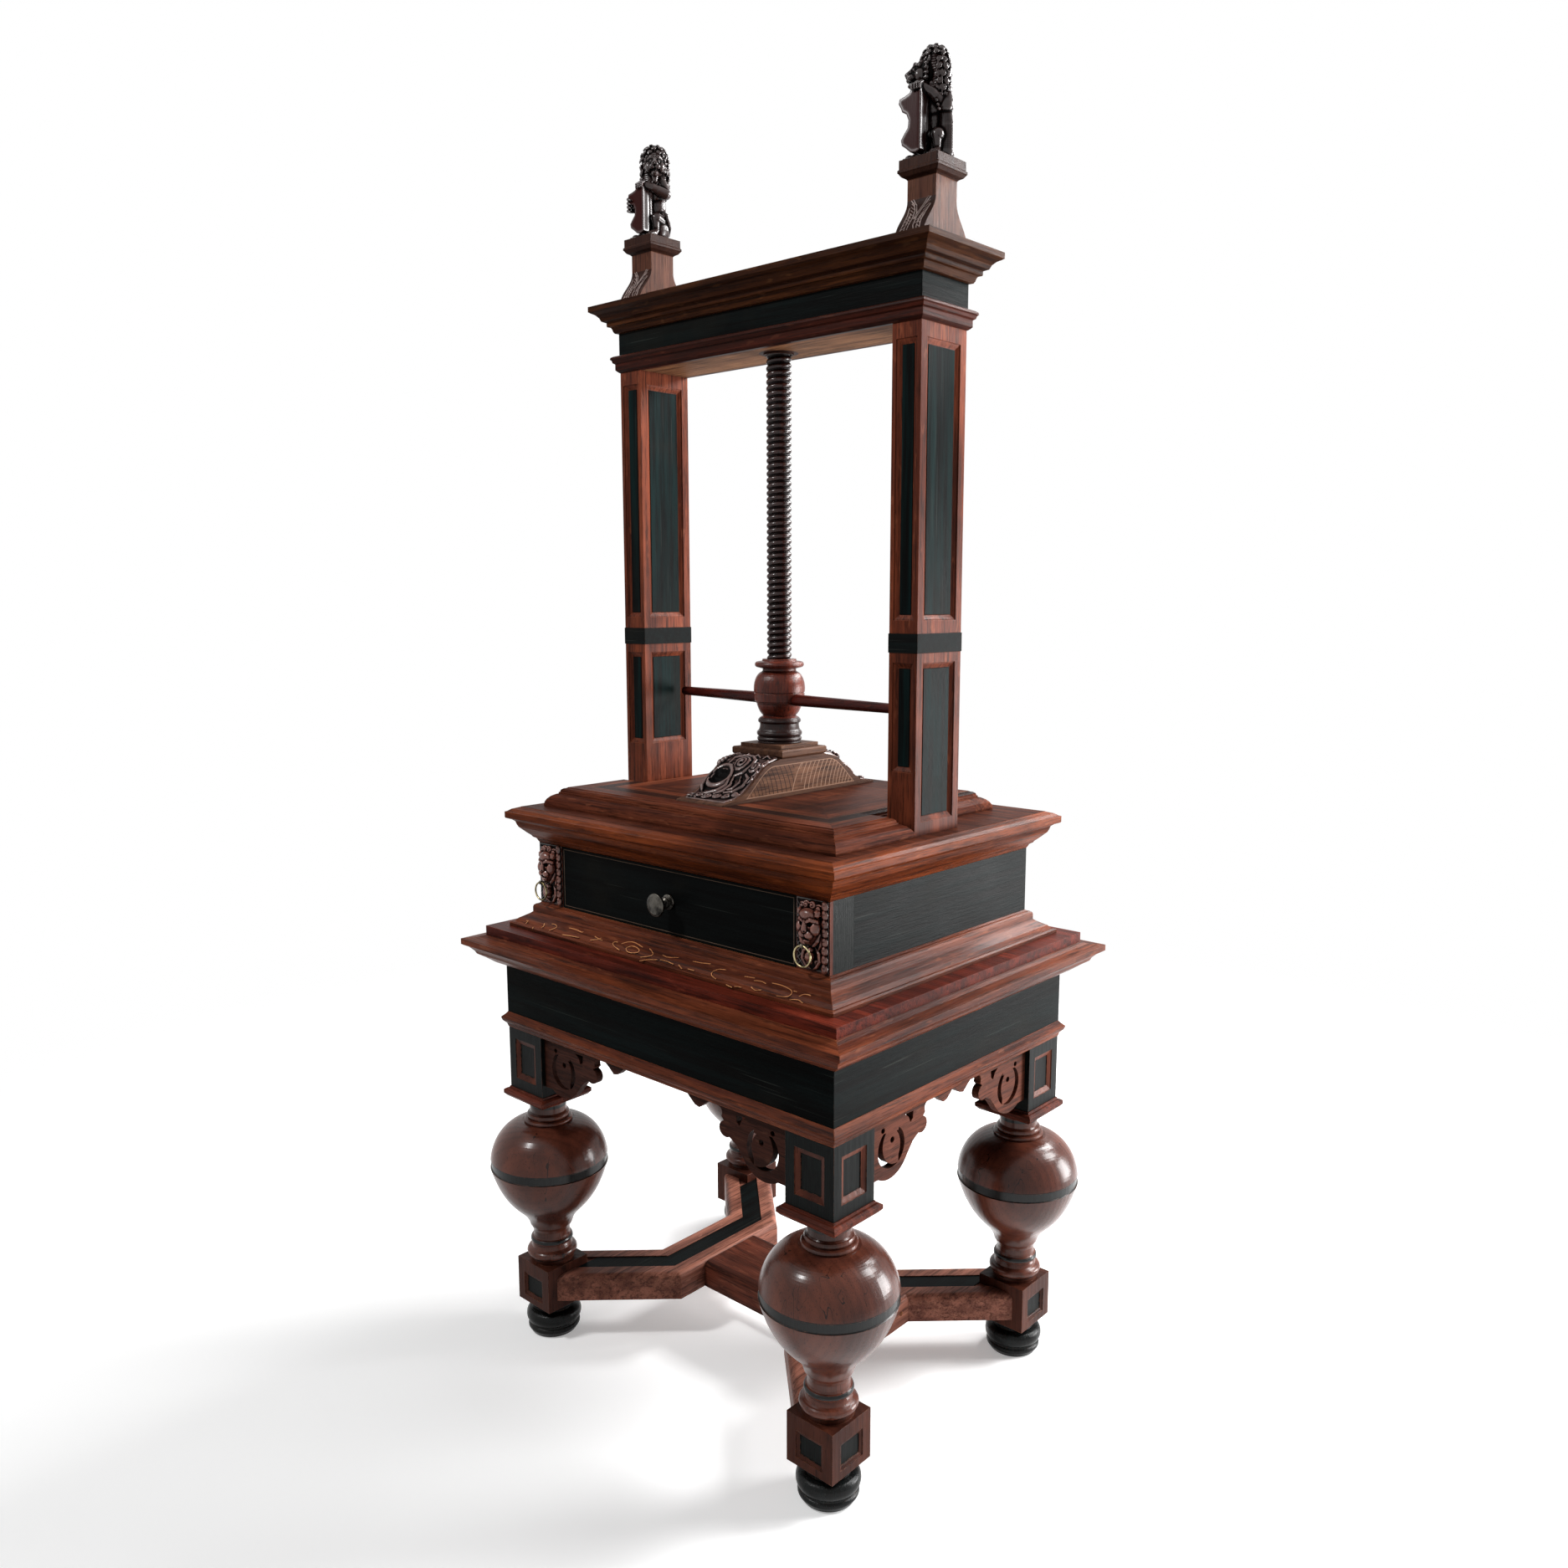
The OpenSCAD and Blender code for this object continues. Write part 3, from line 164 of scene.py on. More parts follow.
def ebonised(name, run, mitre=None, green=1.0, chipped=0.5, rough=0.36, shine=0.03):
    """Black stain on close-grained wood: satin, faintly green, scratched, chipped at corners."""
    f = Finish(name)
    along = lengthwise(f, run, mitre)
    streak = f.cloud(along, 90.0, 4.0, 0.6)
    hair = f.cloud(along, 900.0, 2.0, 0.6)
    patch = f.cloud(f.place, 9.0, 3.0)
    worn = f.raised(hair * 0.5 + streak, 0.0005)
    chips = (worn * f.cloud(f.place, 130.0, 3.0, 0.7)).from_to(0.62 - 0.2 * chipped, 0.7)
    tint = 15 + 4 * green
    base = f.blend(streak.from_to(0.35, 0.7), (8, 8, 8), (13, tint, tint))
    base = f.blend(patch.from_to(0.5, 0.75) * 0.5, base, (24, 23, 20))
    scratch = f.cloud(lengthwise(f, run, mitre, 0.012), 420.0, 1.0).from_to(0.7, 0.76)
    base = f.blend(scratch * 0.4, base, (58, 62, 58))
    f.wear(Base_Color=f.blend(chips * chipped, base, (96, 62, 44)),
           Roughness=rough + 0.16 * (patch - 0.5) + 0.12 * streak, Specular_IOR_Level=shine)
    return f


def dress(finish, *nodes):
    """Puts the finish on the nodes of the frame."""
    for name in nodes:
        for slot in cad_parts[name].material_slots:
            slot.material = finish.material


dress(ebonised("foot_black", "z", green=0.6, chipped=0.9, rough=0.2, shine=0.14),
      "foot_front_left", "foot_front_right", "foot_back_left", "foot_back_right")

# LEGS
# Each leg is one baulk of oak: block, turned bulb and block. Wax has darkened the bulb;
# the upper block and the sunk fields are blacked, and a band is scored black round the bulb.
LEG_X, LEG_Y, LEG_PITH = 0.3065, 0.2385, (0.07, -0.115)
leg_oak = Finish("leg_oak")


def timber(f, place, pith, light, mid, dark):
    """Oak cut from a log with its pith along z: rings, pores and broad shade."""
    x, y, z = place.parts()
    waver = f.cloud(f.vector(x, y, z * 0.35), 14.0, 2.0)
    out = ((x - pith[0]) ** 2.0 + (y - pith[1]) ** 2.0) ** 0.5
    ring = ((out * 560.0) + waver * 9.0).sine() * 0.5 + 0.5
    pore = f.cloud(f.vector(x, y, z * 0.05), 620.0, 2.0, 0.65)
    shade = f.cloud(f.vector(x, y, z * 0.3), 16.0, 3.0)
    base = f.blend(shade.from_to(0.3, 0.7), mid, light)
    base = f.blend(ring.from_to(0.45, 1.0) * 0.16, base, dark)
    return f.blend(pore.from_to(0.56, 0.7) * 0.6, base, dark), ring, pore, shade


leg_x, leg_y, leg_z = leg_oak.place.parts()
leg_x, leg_y = abs(leg_x) - LEG_X, abs(leg_y) - LEG_Y
leg_wood, leg_ring, leg_pore, leg_shade = timber(
    leg_oak, leg_oak.vector(leg_x, leg_y, leg_z), LEG_PITH,
    (102, 54, 39), (64, 32, 24), (20, 10, 8))
leg_worn = leg_oak.raised(leg_ring * 0.25 - leg_pore * 0.6, 0.0004)


def on_face(depth, half_w, half_h, middle):
    """1 inside a rectangle on the outer faces of a leg's block, depth from its axis."""
    tall = abs(leg_z - middle) < half_h
    side = (leg_x > depth) * (abs(leg_y) < half_w) * tall
    return side | ((leg_y > depth) * (abs(leg_x) < half_w) * tall)


UPPER_MIDDLE, LOWER_MIDDLE, LOWER_TOP, NECK_TOP = 0.4825, 0.0858, 0.1372, 0.43
upper_block = leg_z.within(0.4305, 0.5345)
upper_rim = on_face(0.0368, 0.026, 0.0335, UPPER_MIDDLE)
upper_rim = upper_rim - upper_rim * on_face(0.0368, 0.0182, 0.0257, UPPER_MIDDLE)
lower_field = on_face(0.0363, 0.0192, 0.0152, LOWER_MIDDLE)
bulb_band = leg_z.within(0.2972, 0.3125)
fillets = leg_z.within(0.163, 0.1683) | leg_z.within(0.3985, 0.4035)
fillets = fillets | leg_z.within(0.1345, LOWER_TOP)
leg_black = (upper_block - upper_block * upper_rim) | lower_field | bulb_band | fillets
stain = leg_oak.blend(leg_pore.from_to(0.4, 0.7), (8, 8, 8), (15, 20, 19))
old = leg_oak.cloud(leg_oak.place, 7.0, 4.0, 0.6)
leg_colour = leg_oak.blend(old.from_to(0.5, 0.72) * 0.55, leg_wood, (38, 18, 15))
long_cloud = leg_oak.cloud(leg_oak.vector(leg_x, leg_y, leg_z * 0.045), 34.0, 2.0, 0.5)
split = (abs(long_cloud - 0.5) < 0.0035) * (leg_oak.cloud(leg_oak.place, 11.0, 1.0) > 0.5)
# splits along the grain go near black; the whole lower block is darkened by half, a painted shade
leg_colour = leg_oak.blend(split * 0.85 | (leg_z < LOWER_TOP) * 0.5, leg_colour, (9, 5, 4))
leg_colour = leg_oak.blend(leg_black, leg_colour, stain)
rub = (leg_worn * leg_oak.cloud(leg_oak.place, 120.0, 3.0, 0.7)).from_to(0.42, 0.6)
leg_oak.wear(Base_Color=leg_oak.blend(rub * 0.5, leg_colour, (150, 96, 68)),
             Roughness=0.2 + leg_pore * 0.1 + leg_shade * 0.1 + leg_black * 0.1,
             Specular_IOR_Level=0.06, Coat_Weight=leg_z.within(0.137, NECK_TOP) * 0.4,
             Coat_Roughness=0.2)
dress(leg_oak, "leg_front_left", "leg_front_right", "leg_back_left", "leg_back_right")

# COLLARS
# A mitred ring of oak moulding sits in a groove under each upper block, pinned and glued.
# Its top fillet is blacked like the block above it.


def waxed_oak(name, run, light=(122, 62, 38), mid=(74, 34, 23), dark=(22, 10, 8), mitre=None,
              gloss=0.3, darkening=0.5, shine=0.045):
    """Quartered oak, stained red-brown and waxed, rubbed on the edges, with painted shade in its
    hollows and under other parts.
    """
    f = Finish(name)
    along = lengthwise(f, run, mitre)
    streak = f.cloud(along, 48.0, 5.0, 0.62, 0.3)
    pore = f.cloud(along, 520.0, 3.0, 0.7)
    figure = f.cloud(lengthwise(f, run, mitre, 0.25), 130.0, 2.0, 0.5)
    patch = f.cloud(f.place, 6.0, 3.0)
    worn = f.raised(streak * 0.3 - pore, 0.0004)
    base = f.blend(streak.from_to(0.33, 0.68), mid, light)
    base = f.blend(f.cloud(along, 190.0, 4.0, 0.7).from_to(0.48, 0.66) * 0.7, base, dark)
    base = f.blend(pore.from_to(0.5, 0.68) * 0.6, base, dark)
    red, green, blue = light
    ray = (min(255, red + 40), green + 34, blue + 26)
    base = f.blend(figure.from_to(0.62, 0.72) * 0.22, base, ray)
    base = f.blend(patch.from_to(0.42, 0.7) * darkening, base, dark)
    # painted shade: ambient occlusion darkens hollows, corners and places under or between parts
    open_air = f.add("ShaderNodeAmbientOcclusion", {"samples": 4}, {"Distance": 0.014}, "AO")
    painted_shade = tuple(v * 0.5 for v in dark)
    base = f.blend(open_air.from_to(0.72, 0.3) * 0.8, base, painted_shade)
    touched = (worn * (0.5 + f.cloud(f.place, 60.0, 3.0))).from_to(0.45, 1.0)
    rubbed = (min(255, red + 24), green + 14, blue + 6)
    f.wear(Base_Color=f.blend(touched * 0.42, base, rubbed),
           Roughness=gloss + 0.14 * pore + 0.1 * (patch - 0.5), Specular_IOR_Level=shine)
    return f


dress(waxed_oak("collar_oak", "x", (104, 48, 34), (62, 28, 20)), "leg_collars")

# STRETCHERS
# Two bent rails of three mitred lengths and a cross rail tie the legs; oak pegs lock the joints.
# A black strip is let into the top of each side rail. Shoes have dulled and darkened them.
# the side rails' oak is coloured lighter than the cross rail's, a painted light for the light on
# their tops
dress(waxed_oak("rail_oak", "y", (160, 104, 86), (108, 66, 54), (36, 20, 16),
                darkening=0.4, shine=0.06), "side_stretcher_left", "side_stretcher_right")
dress(waxed_oak("cross_oak", "x", (104, 54, 40), (64, 33, 25), (26, 13, 10),
                gloss=0.34, darkening=0.6), "cross_stretcher")
dress(ebonised("strip_black", "y", chipped=0.3, rough=0.42), "stretcher_inlays")
dress(waxed_oak("peg_oak", "z", (150, 96, 64), (120, 72, 46), gloss=0.45, darkening=0.3), "joint_pegs")

# FRIEZE OF THE TABLE
# Four blacked boards mitred at the corners, with an oak moulding nailed along the lower edge.
# Eight brackets sawn and pierced from thin oak stand behind it, dull because nobody waxes them.
TABLE_MITRE = (0.34875, 0.28175)
dress(ebonised("frieze_long", "x", chipped=0.4, rough=0.38, shine=0.012),
      "apron_front", "apron_back")
dress(ebonised("frieze_short", "y", chipped=0.4, rough=0.38), "apron_left", "apron_right")
dress(waxed_oak("frieze_moulding", "x", mitre=TABLE_MITRE, darkening=0.55), "apron_moulding")
# the long brackets at front and back are coloured darker and the short ones at the sides lighter:
# painted shade on the one, painted light on the other
dress(waxed_oak("bracket_long", "x", (68, 38, 30), (44, 24, 19), (20, 11, 9),
                gloss=0.42, darkening=0.4, shine=0.03), "long_brackets")
dress(waxed_oak("bracket_short", "y", (96, 52, 38), (66, 35, 26), (28, 15, 12),
                gloss=0.42, darkening=0.4), "side_brackets")

# TABLE TOP AND ITS CORNICE
# Mitred lengths of oak moulding carry the board; its edge strip is redder than the rest.
dress(waxed_oak("table_cornice_oak", "x", mitre=TABLE_MITRE), "table_cornice")
dress(waxed_oak("table_oak", "x", (112, 44, 30), (68, 26, 20), (24, 9, 8)), "table_top")

# PLINTH OF THE CABINET
# A stepped and sloping moulding in four mitred lengths, glued to the table top. Thin strips of
# maple are let into the slope of its front, in scrolls and leaves drawn with a free hand.
CASE_MITRE = (0.30625, 0.24)
dress(waxed_oak("plinth_oak", "x", mitre=CASE_MITRE, shine=0.06), "plinth")

# each strip's line, in mm along the front and up the slope
INLAY = (
    ((135, 9), (124, 7.5), (119, 4.5), (116, 0), (117, -4.5), (123, -8.5), (132, -10.5)),
    ((155, -15), (168, -17)), ((170, -14), (182, -12.5)), ((172, 6.5), (190, 8.5)),
    ((192, 4), (203, 6.5), (214, 4.5)),
    ((222, 8), (236, 9), (249, 7.5), (258, 5.5), (262, 3), (264, -2), (262, -6), (255, -9),
     (244, -10)),
    ((196, -7.5), (202, -10), (208, -11), (215, -7.5)),
    ((268, -10.5), (277, -6.5), (284, -7.5), (290, -10)),
    ((277, -1.5), (281, 4), (287, 5.5), (293, 5)), ((263, 5), (269, 5)),
    ((9, 4.5), (18, 3), (26, 3.8), (40, 8)), ((12, -4.5), (27, -4), (42, -6)),
    ((-21, -17), (-9, -10.5), (8, -6)), ((51, -4.5), (63, -10)), ((72, -7), (85, -7)),
    ((69, 8), (88, 9.5), (102, 12)),
    ((-24, 9.5), (-15, 6), (-8, 1.5), (-9, -2), (-14, -5), (-26, -10)),
    ((-66, -1), (-63, 3), (-58, 6), (-48, 5.5), (-40, 2.5), (-37, -1), (-40, -4.5), (-52, -7.5),
     (-60, -6), (-66, -1)),
    ((-82, 4), (-74, 11), (-63, 13.5), (-53, 12), (-38, 8.5)),
    ((-91, 5.5), (-98, 4.5), (-99, 1.5), (-93, -3), (-74, -8)),
    ((-146, -5), (-131, 1.5), (-122, 1)), ((-144, 4.5), (-131, 1.5), (-128, 5)),
    ((-209, 7), (-191, 7.5), (-176, 5), (-174, 7)), ((-209, -9), (-190, -7), (-171, -5.5)),
    ((-268, 3.5), (-262, -3), (-265, -8)),
    ((-252, 5.5), (-245, 6.5), (-236, 4), (-235, 0), (-244, -8.5)),
    ((-310, -2.5), (-305, 0), (-305, -8)), ((-280, -14), (-282, -10.5)))
STRIP_HALF, STRIP_TIP, PROUD, SUNK = 0.6, 0.25, 0.15, -0.3
INLAY_Y, INLAY_Z, SLOPE_OUT, SLOPE_UP = -266.5, 717.5, 0.8652, 0.5016


def heading(path, i):
    """The way a path runs at its point i."""
    return (path[min(i + 1, len(path) - 1)] - path[max(i - 1, 0)]).normalized()


def stand(name, data):
    """A new object of the mesh, lamp or camera given."""
    made = bpy.data.objects.new(name, data)
    bpy.context.scene.collection.objects.link(made)
    return made


def fit(name, mesh, finish, body, replaces=()):
    """The mesh as a finished piece of the press that rides on a body."""
    mesh.materials.append(finish.material)
    made = stand(name, mesh)
    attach(made, body)
    if replaces:
        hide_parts(*replaces)


strips = bmesh.new()
for line in INLAY:
    # the corners of each line are cut off twice to round it
    points = [Vector((x, up, 0)) for x, up in line]
    for _ in range(2):
        cut = [p for a, b in zip(points, points[1:]) for p in (a.lerp(b, 0.25), a.lerp(b, 0.75))]
        points = [points[0], *cut, points[-1]]
    rows = []
    for i, p in enumerate(points):
        ahead = heading(points, i)
        half = STRIP_HALF if 0 < i < len(points) - 1 else STRIP_TIP
        wide = Vector((-ahead.y, ahead.x, 0)) * half
        rows.append([strips.verts.new(Vector((
            q.x, INLAY_Y + SLOPE_OUT * q.y - SLOPE_UP * proud,
            INLAY_Z + SLOPE_UP * q.y + SLOPE_OUT * proud)) / 1000)
            for q in (p + wide, p - wide) for proud in (PROUD, SUNK)])
    for a, b in zip(rows, rows[1:]):
        for k, n in ((0, 2), (2, 3), (3, 1), (1, 0)):
            strips.faces.new((a[k], b[k], b[n], a[n]))
    for a in (rows[0], rows[-1]):
        strips.faces.new((a[0], a[2], a[3], a[1]))
bmesh.ops.recalc_face_normals(strips, faces=strips.faces)
inlay = bpy.data.meshes.new("plinth_inlay")
strips.to_mesh(inlay)
strips.free()
inlay_maple = waxed_oak("inlay_maple", "x", (250, 176, 120), (216, 136, 84), (120, 66, 40),
                        darkening=0.4)
fit("plinth_inlay", inlay, inlay_maple, "frame")

# CABINET
# Blacked side and back boards between two oak corner pilasters; the floor and the drawer
# guides inside are bare oak.
dress(ebonised("case_black", "y", chipped=0.3), "case_sides")
dress(ebonised("back_black", "x", chipped=0.3, rough=0.4), "case_back")
inner_oak = waxed_oak("inner_oak", "y", (164, 120, 82), (138, 96, 62), (92, 60, 38),
                      gloss=0.6, darkening=0.2)
dress(inner_oak, "case_floor", "drawer_guides")
pilaster_oak = waxed_oak("pilaster_oak", "z", (104, 50, 34), (72, 34, 25), (34, 17, 13))
across, depth, _ = pilaster_oak.place.parts()
PILASTER_SIDE, BLACK_FROM = 0.3058, -0.2335
pilaster_oak.glaze((abs(across) > PILASTER_SIDE) * (depth > BLACK_FROM), (8, 12, 11))
dress(pilaster_oak, "pilaster_left", "pilaster_right")

# MASKS AND RINGS
# A carved lion mask on each pilaster holds a brass pull ring on an iron staple; a strip of
# scales runs beside it on a ground of crossed cuts, all glued to the pilaster's face.
class Carving:
    """Wood blocked out from lumps, rolls and slabs in millimetres, then rounded over and gouged."""

    def __init__(self, place):
        self.place, self.block = place, bmesh.new()

    def lump(self, centre, radii, turn=0.0, fine=2):
        """An egg of wood; a large one has finer faces."""
        radii = radii if hasattr(radii, "__len__") else [radii] * 3
        stretch = Matrix.Diagonal((*radii, 1.0))
        spin = Matrix.Rotation(math.radians(turn), 4, "Z")
        if max(stretch[k][k] for k in range(3)) > 7:
            fine = 3
        bmesh.ops.create_icosphere(self.block, subdivisions=fine, radius=1.0,
                                   matrix=Matrix.Translation(centre) @ spin @ stretch)

    def roll(self, path, thick, sides=8):
        """A rounded cord of wood along the path; thick is one radius, or one at each point."""
        path = [Vector(p) for p in path]
        thick = thick if hasattr(thick, "__len__") else [thick] * len(path)
        gaps = len(path) - 1
        thick = [thick[int(i * (len(thick) - 1) / gaps + 0.5)] for i in range(gaps + 1)]
        rings = []
        side = Vector((0.31, 0.53, 0.79))
        for i, p in enumerate(path):
            ahead = heading(path, i)
            side = (side - ahead * side.dot(ahead)).normalized()
            other = ahead.cross(side)
            rings.append([self.block.verts.new(
                p + (side * math.cos(a) + other * math.sin(a)) * thick[i])
                for a in (2 * math.pi * k / sides for k in range(sides))])
        for low, high in zip(rings, rings[1:]):
            for k in range(sides):
                n = (k + 1) % sides
                self.block.faces.new((low[k], low[n], high[n], high[k]))
        self.block.faces.new(rings[0][::-1])
        self.block.faces.new(rings[-1])
        self.lump(path[0], thick[0], fine=1)
        self.lump(path[-1], thick[-1], fine=1)

    def limb(self, path, thick):
        """Lumps laid close along a bent path, as thick as given at each of its points."""
        joints = [(Vector(p), r) for p, r in zip(path, thick)]
        for (a, ra), (b, rb) in zip(joints, joints[1:]):
            count = max(2, int((b - a).length / 2.5))
            for i in range(count + 1):
                self.lump(a.lerp(b, i / count), ra + (rb - ra) * (i / count))

    def slab(self, outline, low, high):
        """A flat board of the outline (x, z), from y low to y high."""
        front = [self.block.verts.new((x, low, z)) for x, z in outline]
        back = [self.block.verts.new((x, high, z)) for x, z in outline]
        self.block.faces.new(front)
        self.block.faces.new(back[::-1])
        for i in range(len(outline)):
            n = (i + 1) % len(outline)
            self.block.faces.new((front[i], back[i], back[n], front[n]))

    def blank(self, name, voxel, smooth):
        """The block as one skin of voxels of the size given, smoothed the number of times given."""
        bmesh.ops.recalc_face_normals(self.block, faces=self.block.faces)
        for vert in self.block.verts:
            vert.co = self.place(vert.co)
        bmesh.ops.recalc_face_normals(self.block, faces=self.block.faces)
        rough = bpy.data.meshes.new(name + "_block")
        self.block.to_mesh(rough)
        self.block.free()
        blank = stand(name + "_block", rough)
        knife = blank.modifiers.new("knife", "REMESH")
        knife.mode, knife.voxel_size, knife.use_smooth_shade = "VOXEL", voxel / 1000, True
        rasp = blank.modifiers.new("rasp", "SMOOTH")
        rasp.factor, rasp.iterations = 0.5, smooth
        bpy.context.view_layer.update()
        shape = blank.evaluated_get(bpy.context.evaluated_depsgraph_get())
        mesh = bpy.data.meshes.new_from_object(shape)
        bpy.data.objects.remove(blank)
        bpy.data.meshes.remove(rough)
        mesh.name = name
        return mesh

    @staticmethod
    def read(mesh, what):
        """Places or normals of the mesh's vertices, a row for each."""
        values = np.empty(len(mesh.vertices) * 3)
        mesh.vertices.foreach_get(what, values)
        return values.reshape(-1, 3)

    def gouge(self, mesh, cuts):
        """Sinks a dimple of radius and depth at each cut; those marked shaded also take painted
        shade.
        """
        spots, lean = self.read(mesh, "co"), self.read(mesh, "normal")
        darkening = np.zeros(len(spots))
        for centre, radius, depth, *shaded in cuts:
            far = np.linalg.norm(spots - np.array(self.place(Vector(centre))), axis=1)
            far = far * 1000 / radius
            near = far < 1.0
            spots[near] -= lean[near] * (depth / 1000 * (1 - far[near] ** 2) ** 2)[:, None]
            darkening[near] += (1 - far[near] ** 2) * 1.6 * len(shaded)
        mesh.vertices.foreach_set("co", spots.ravel())
        mesh.update()
        return spots, darkening

    def mark_hollows(self, mesh, spots, darkening):
        """Notes how hollow each spot lies, against the surface round it, with the painted shade of
        the marked cuts added.
        """
        ends = np.empty(len(mesh.edges) * 2, dtype=np.int64)
        mesh.edges.foreach_get("vertices", ends)
        here = np.concatenate((ends[::2], ends[1::2]))
        there = np.concatenate((ends[1::2], ends[::2]))
        met = np.bincount(here, minlength=len(spots))[:, None]
        even = spots
        for _ in range(14):
            sums = [np.bincount(here, even[there, k], len(spots)) for k in range(3)]
            even = np.stack(sums, 1) / met
        sunk = ((even - spots) * self.read(mesh, "normal")).sum(1) * 1000
        hollow = mesh.attributes.new("hollow", "FLOAT", "POINT")
        hollow.data.foreach_set("value", np.clip(0.5 + sunk + darkening, 0, 1))

    def hang(self, name, voxel, smooth, finish, body, replaces=(), cuts=()):
        mesh = self.blank(name, voxel, smooth)
        self.mark_hollows(mesh, *self.gouge(mesh, cuts))
        fit(name, mesh, finish, body, replaces)


def carved(name, high, mid, painted_shade_colour, gloss=0.3, polish=0.6, full_shade_at=0.68):
    """Carved wood: polish worn onto its high places, and painted shade in the hollows, down to near
    black.
    """
    f = Finish(name)
    hollow = f.add("ShaderNodeAttribute", {"attribute_name": "hollow"}, {}, "Fac")
    grain = f.cloud(lengthwise(f, "z", squeeze=0.12), 420.0, 3.0)
    patch = f.cloud(f.place, 46.0, 3.0)
    worn = (1 - hollow).from_to(0.5, 0.85) & (patch + grain * 0.5).from_to(0.4, 0.85)
    warm = f.blend(0.2, mid, high)
    base = f.blend(patch.from_to(0.35, 0.7), mid, warm)
    base = f.blend(worn, base, high)
    # painted shade: the more hollow a spot, the nearer it goes to the shade colour
    base = f.blend(hollow.from_to(0.5, full_shade_at), base, painted_shade_colour)
    f.raised(grain + patch * 0.6, 0.00025, 0.0004)
    f.wear(Base_Color=base, Roughness=gloss + 0.25 * hollow + 0.1 * grain,
           Specular_IOR_Level=0.03, Coat_Weight=(1 - hollow).from_to(0.47, 0.72) * polish,
           Coat_Roughness=0.24)
    return f


def curl(middle, size, start, turns, hand, rise):
    """A scroll in the plane of a face, (across, out, up), wound inward from its start angle."""
    path = []
    for j in range(int(turns * 12) + 1):
        q = j / (turns * 12)
        a, r = math.radians(start + hand * 360 * turns * q), size * (1 - 0.85 * q)
        x, y, z = middle
        path.append((x + r * math.cos(a), y + rise * q, z + r * math.sin(a)))
    return path


PILASTER_X, PILASTER_FACE, PLINTH_TOP = 277.25, -240, 705


def pilaster_mask(name, middle):
    """Mask, scales and ground of one pilaster: x across, y out from its face, z up the case."""
    c = Carving(lambda p: Vector(((middle + p.x) / 1000, (PILASTER_FACE - p.y) / 1000,
                                  (PLINTH_TOP + p.z) / 1000)))
    c.slab([(-28, 41), (27.5, 41), (27.5, 137), (-28, 137)], -1.5, 0.7)
    c.lump((0, 4.5, 100), (17, 12.5, 24))
    c.lump((0, 10.5, 118), (13, 8.5, 9.0), fine=1)
    c.limb([(0, 15, 113), (0, 17.0, 105), (0, 17.6, 99.5)], [3.4, 3.8, 4.6])
    c.lump((0, 12, 84.5), (5.8, 5.2, 4.6))
    for k in (-1, 1):
        c.limb([(k * 2.5, 16.0, 110.5), (k * 8, 14.6, 113.5), (k * 14.5, 9.5, 110)],
               [2.8, 3.8, 3.0])
        c.lump((k * 14.5, 8, 121), (5.0, 5.4, 6.4), fine=1)
        c.lump((k * 5.0, 14.4, 92.6), (6.8, 5.4, 6.4))
        c.lump((k * 11.5, 9.5, 101), (7.4, 7.2, 10.0), fine=1)
        c.roll([(k * 14, 5, 104), (k * 16, 5, 93), (k * 13, 6.5, 84), (k * 8, 7, 78),
                (k * 5, 6, 75)],
               [1.8, 3.0, 3.2, 2.6, 1.0])
        c.roll([(k * 16, 3, 98), (k * 19, 3.5, 88), (k * 17, 3.5, 78), (k * 12, 3, 71)],
               [1.4, 2.3, 2.3, 0.9])
        c.roll(curl((k * 13.5, 4.5, 127), 5.4, 90 - k * 40, 1.3, k, 2.5), [1.3, 1.9, 1.8, 1.6], 6)
        c.roll(curl((k * 5.2, 6.5, 131), 4.6, 90 + k * 60, 1.3, -k, 2.5), [1.3, 1.8, 1.7, 1.5], 6)
        c.roll([(k * 6, 1.5, 73), (k * 13.5, 3, 66), (k * 15, 3.5, 56), (k * 9, 3, 47),
                (k * 2, 2, 43)],
               [1.0, 2.6, 2.8, 2.2, 0.8])
        c.roll(curl((k * 8.5, 2.2, 54), 4.0, 90 + k * 80, 1.2, k, 1.5), [1.0, 1.5, 1.5, 1.3], 6)
    c.lump((0, 11, 83), (5.4, 5.0, 4.0))
    c.lump((0, 5, 69.5), (4.0, 4.0, 3.2))
    c.lump((0, 7, 61), (6.2, 7.0, 7.0))
    c.lump((0, 5, 53), (3.2, 3.4, 3.0))
    for k in range(8):
        c.lump((22.4, 2.0, 47 + 12 * k), (5.2, 3.8, 7.4), fine=1)
        c.lump((22.4, 3.4, 51 + 12 * k), (3.2, 3.6, 3.4), fine=1)
    for k in range(11):
        low = 34 + 9.5 * k
        for a, b in ((low, low + 13), (low + 13, low)):
            if min(a, b) > 41 and max(a, b) < 137:
                c.roll([(-27, 1.0, a), (-14, 1.0, b)], 0.9, 5)
    # the cuts ending in 1, in the mouth, eyes and nostrils, also take painted shade
    cuts = [((b, 17.0 - 0.1 * abs(b), 88.0 - 0.06 * b * b), 2.6, 3.4, 1) for b in range(-7, 8, 2)]
    for k in (-1, 1):
        cuts += [((k * 6.8, 15.0, 107.0), 4.0, 4.2, 1), ((k * 9.4, 13.5, 107.5), 3.0, 2.6),
                 ((k * 2.4, 21.0, 98.0), 1.6, 1.6, 1), ((k * 8.5, 14.0, 97.0), 2.6, 1.6)]
    c.hang(name + "_carved", 0.62, 1, mask_wood, "frame", (name,), cuts)


mask_wood = carved("mask_wood", (144, 90, 76), (54, 19, 14), (2, 1, 1), 0.22, 1.0, 0.85)
SCALES_Y, GROUND_DEPTH = 0.2452, 0.0036
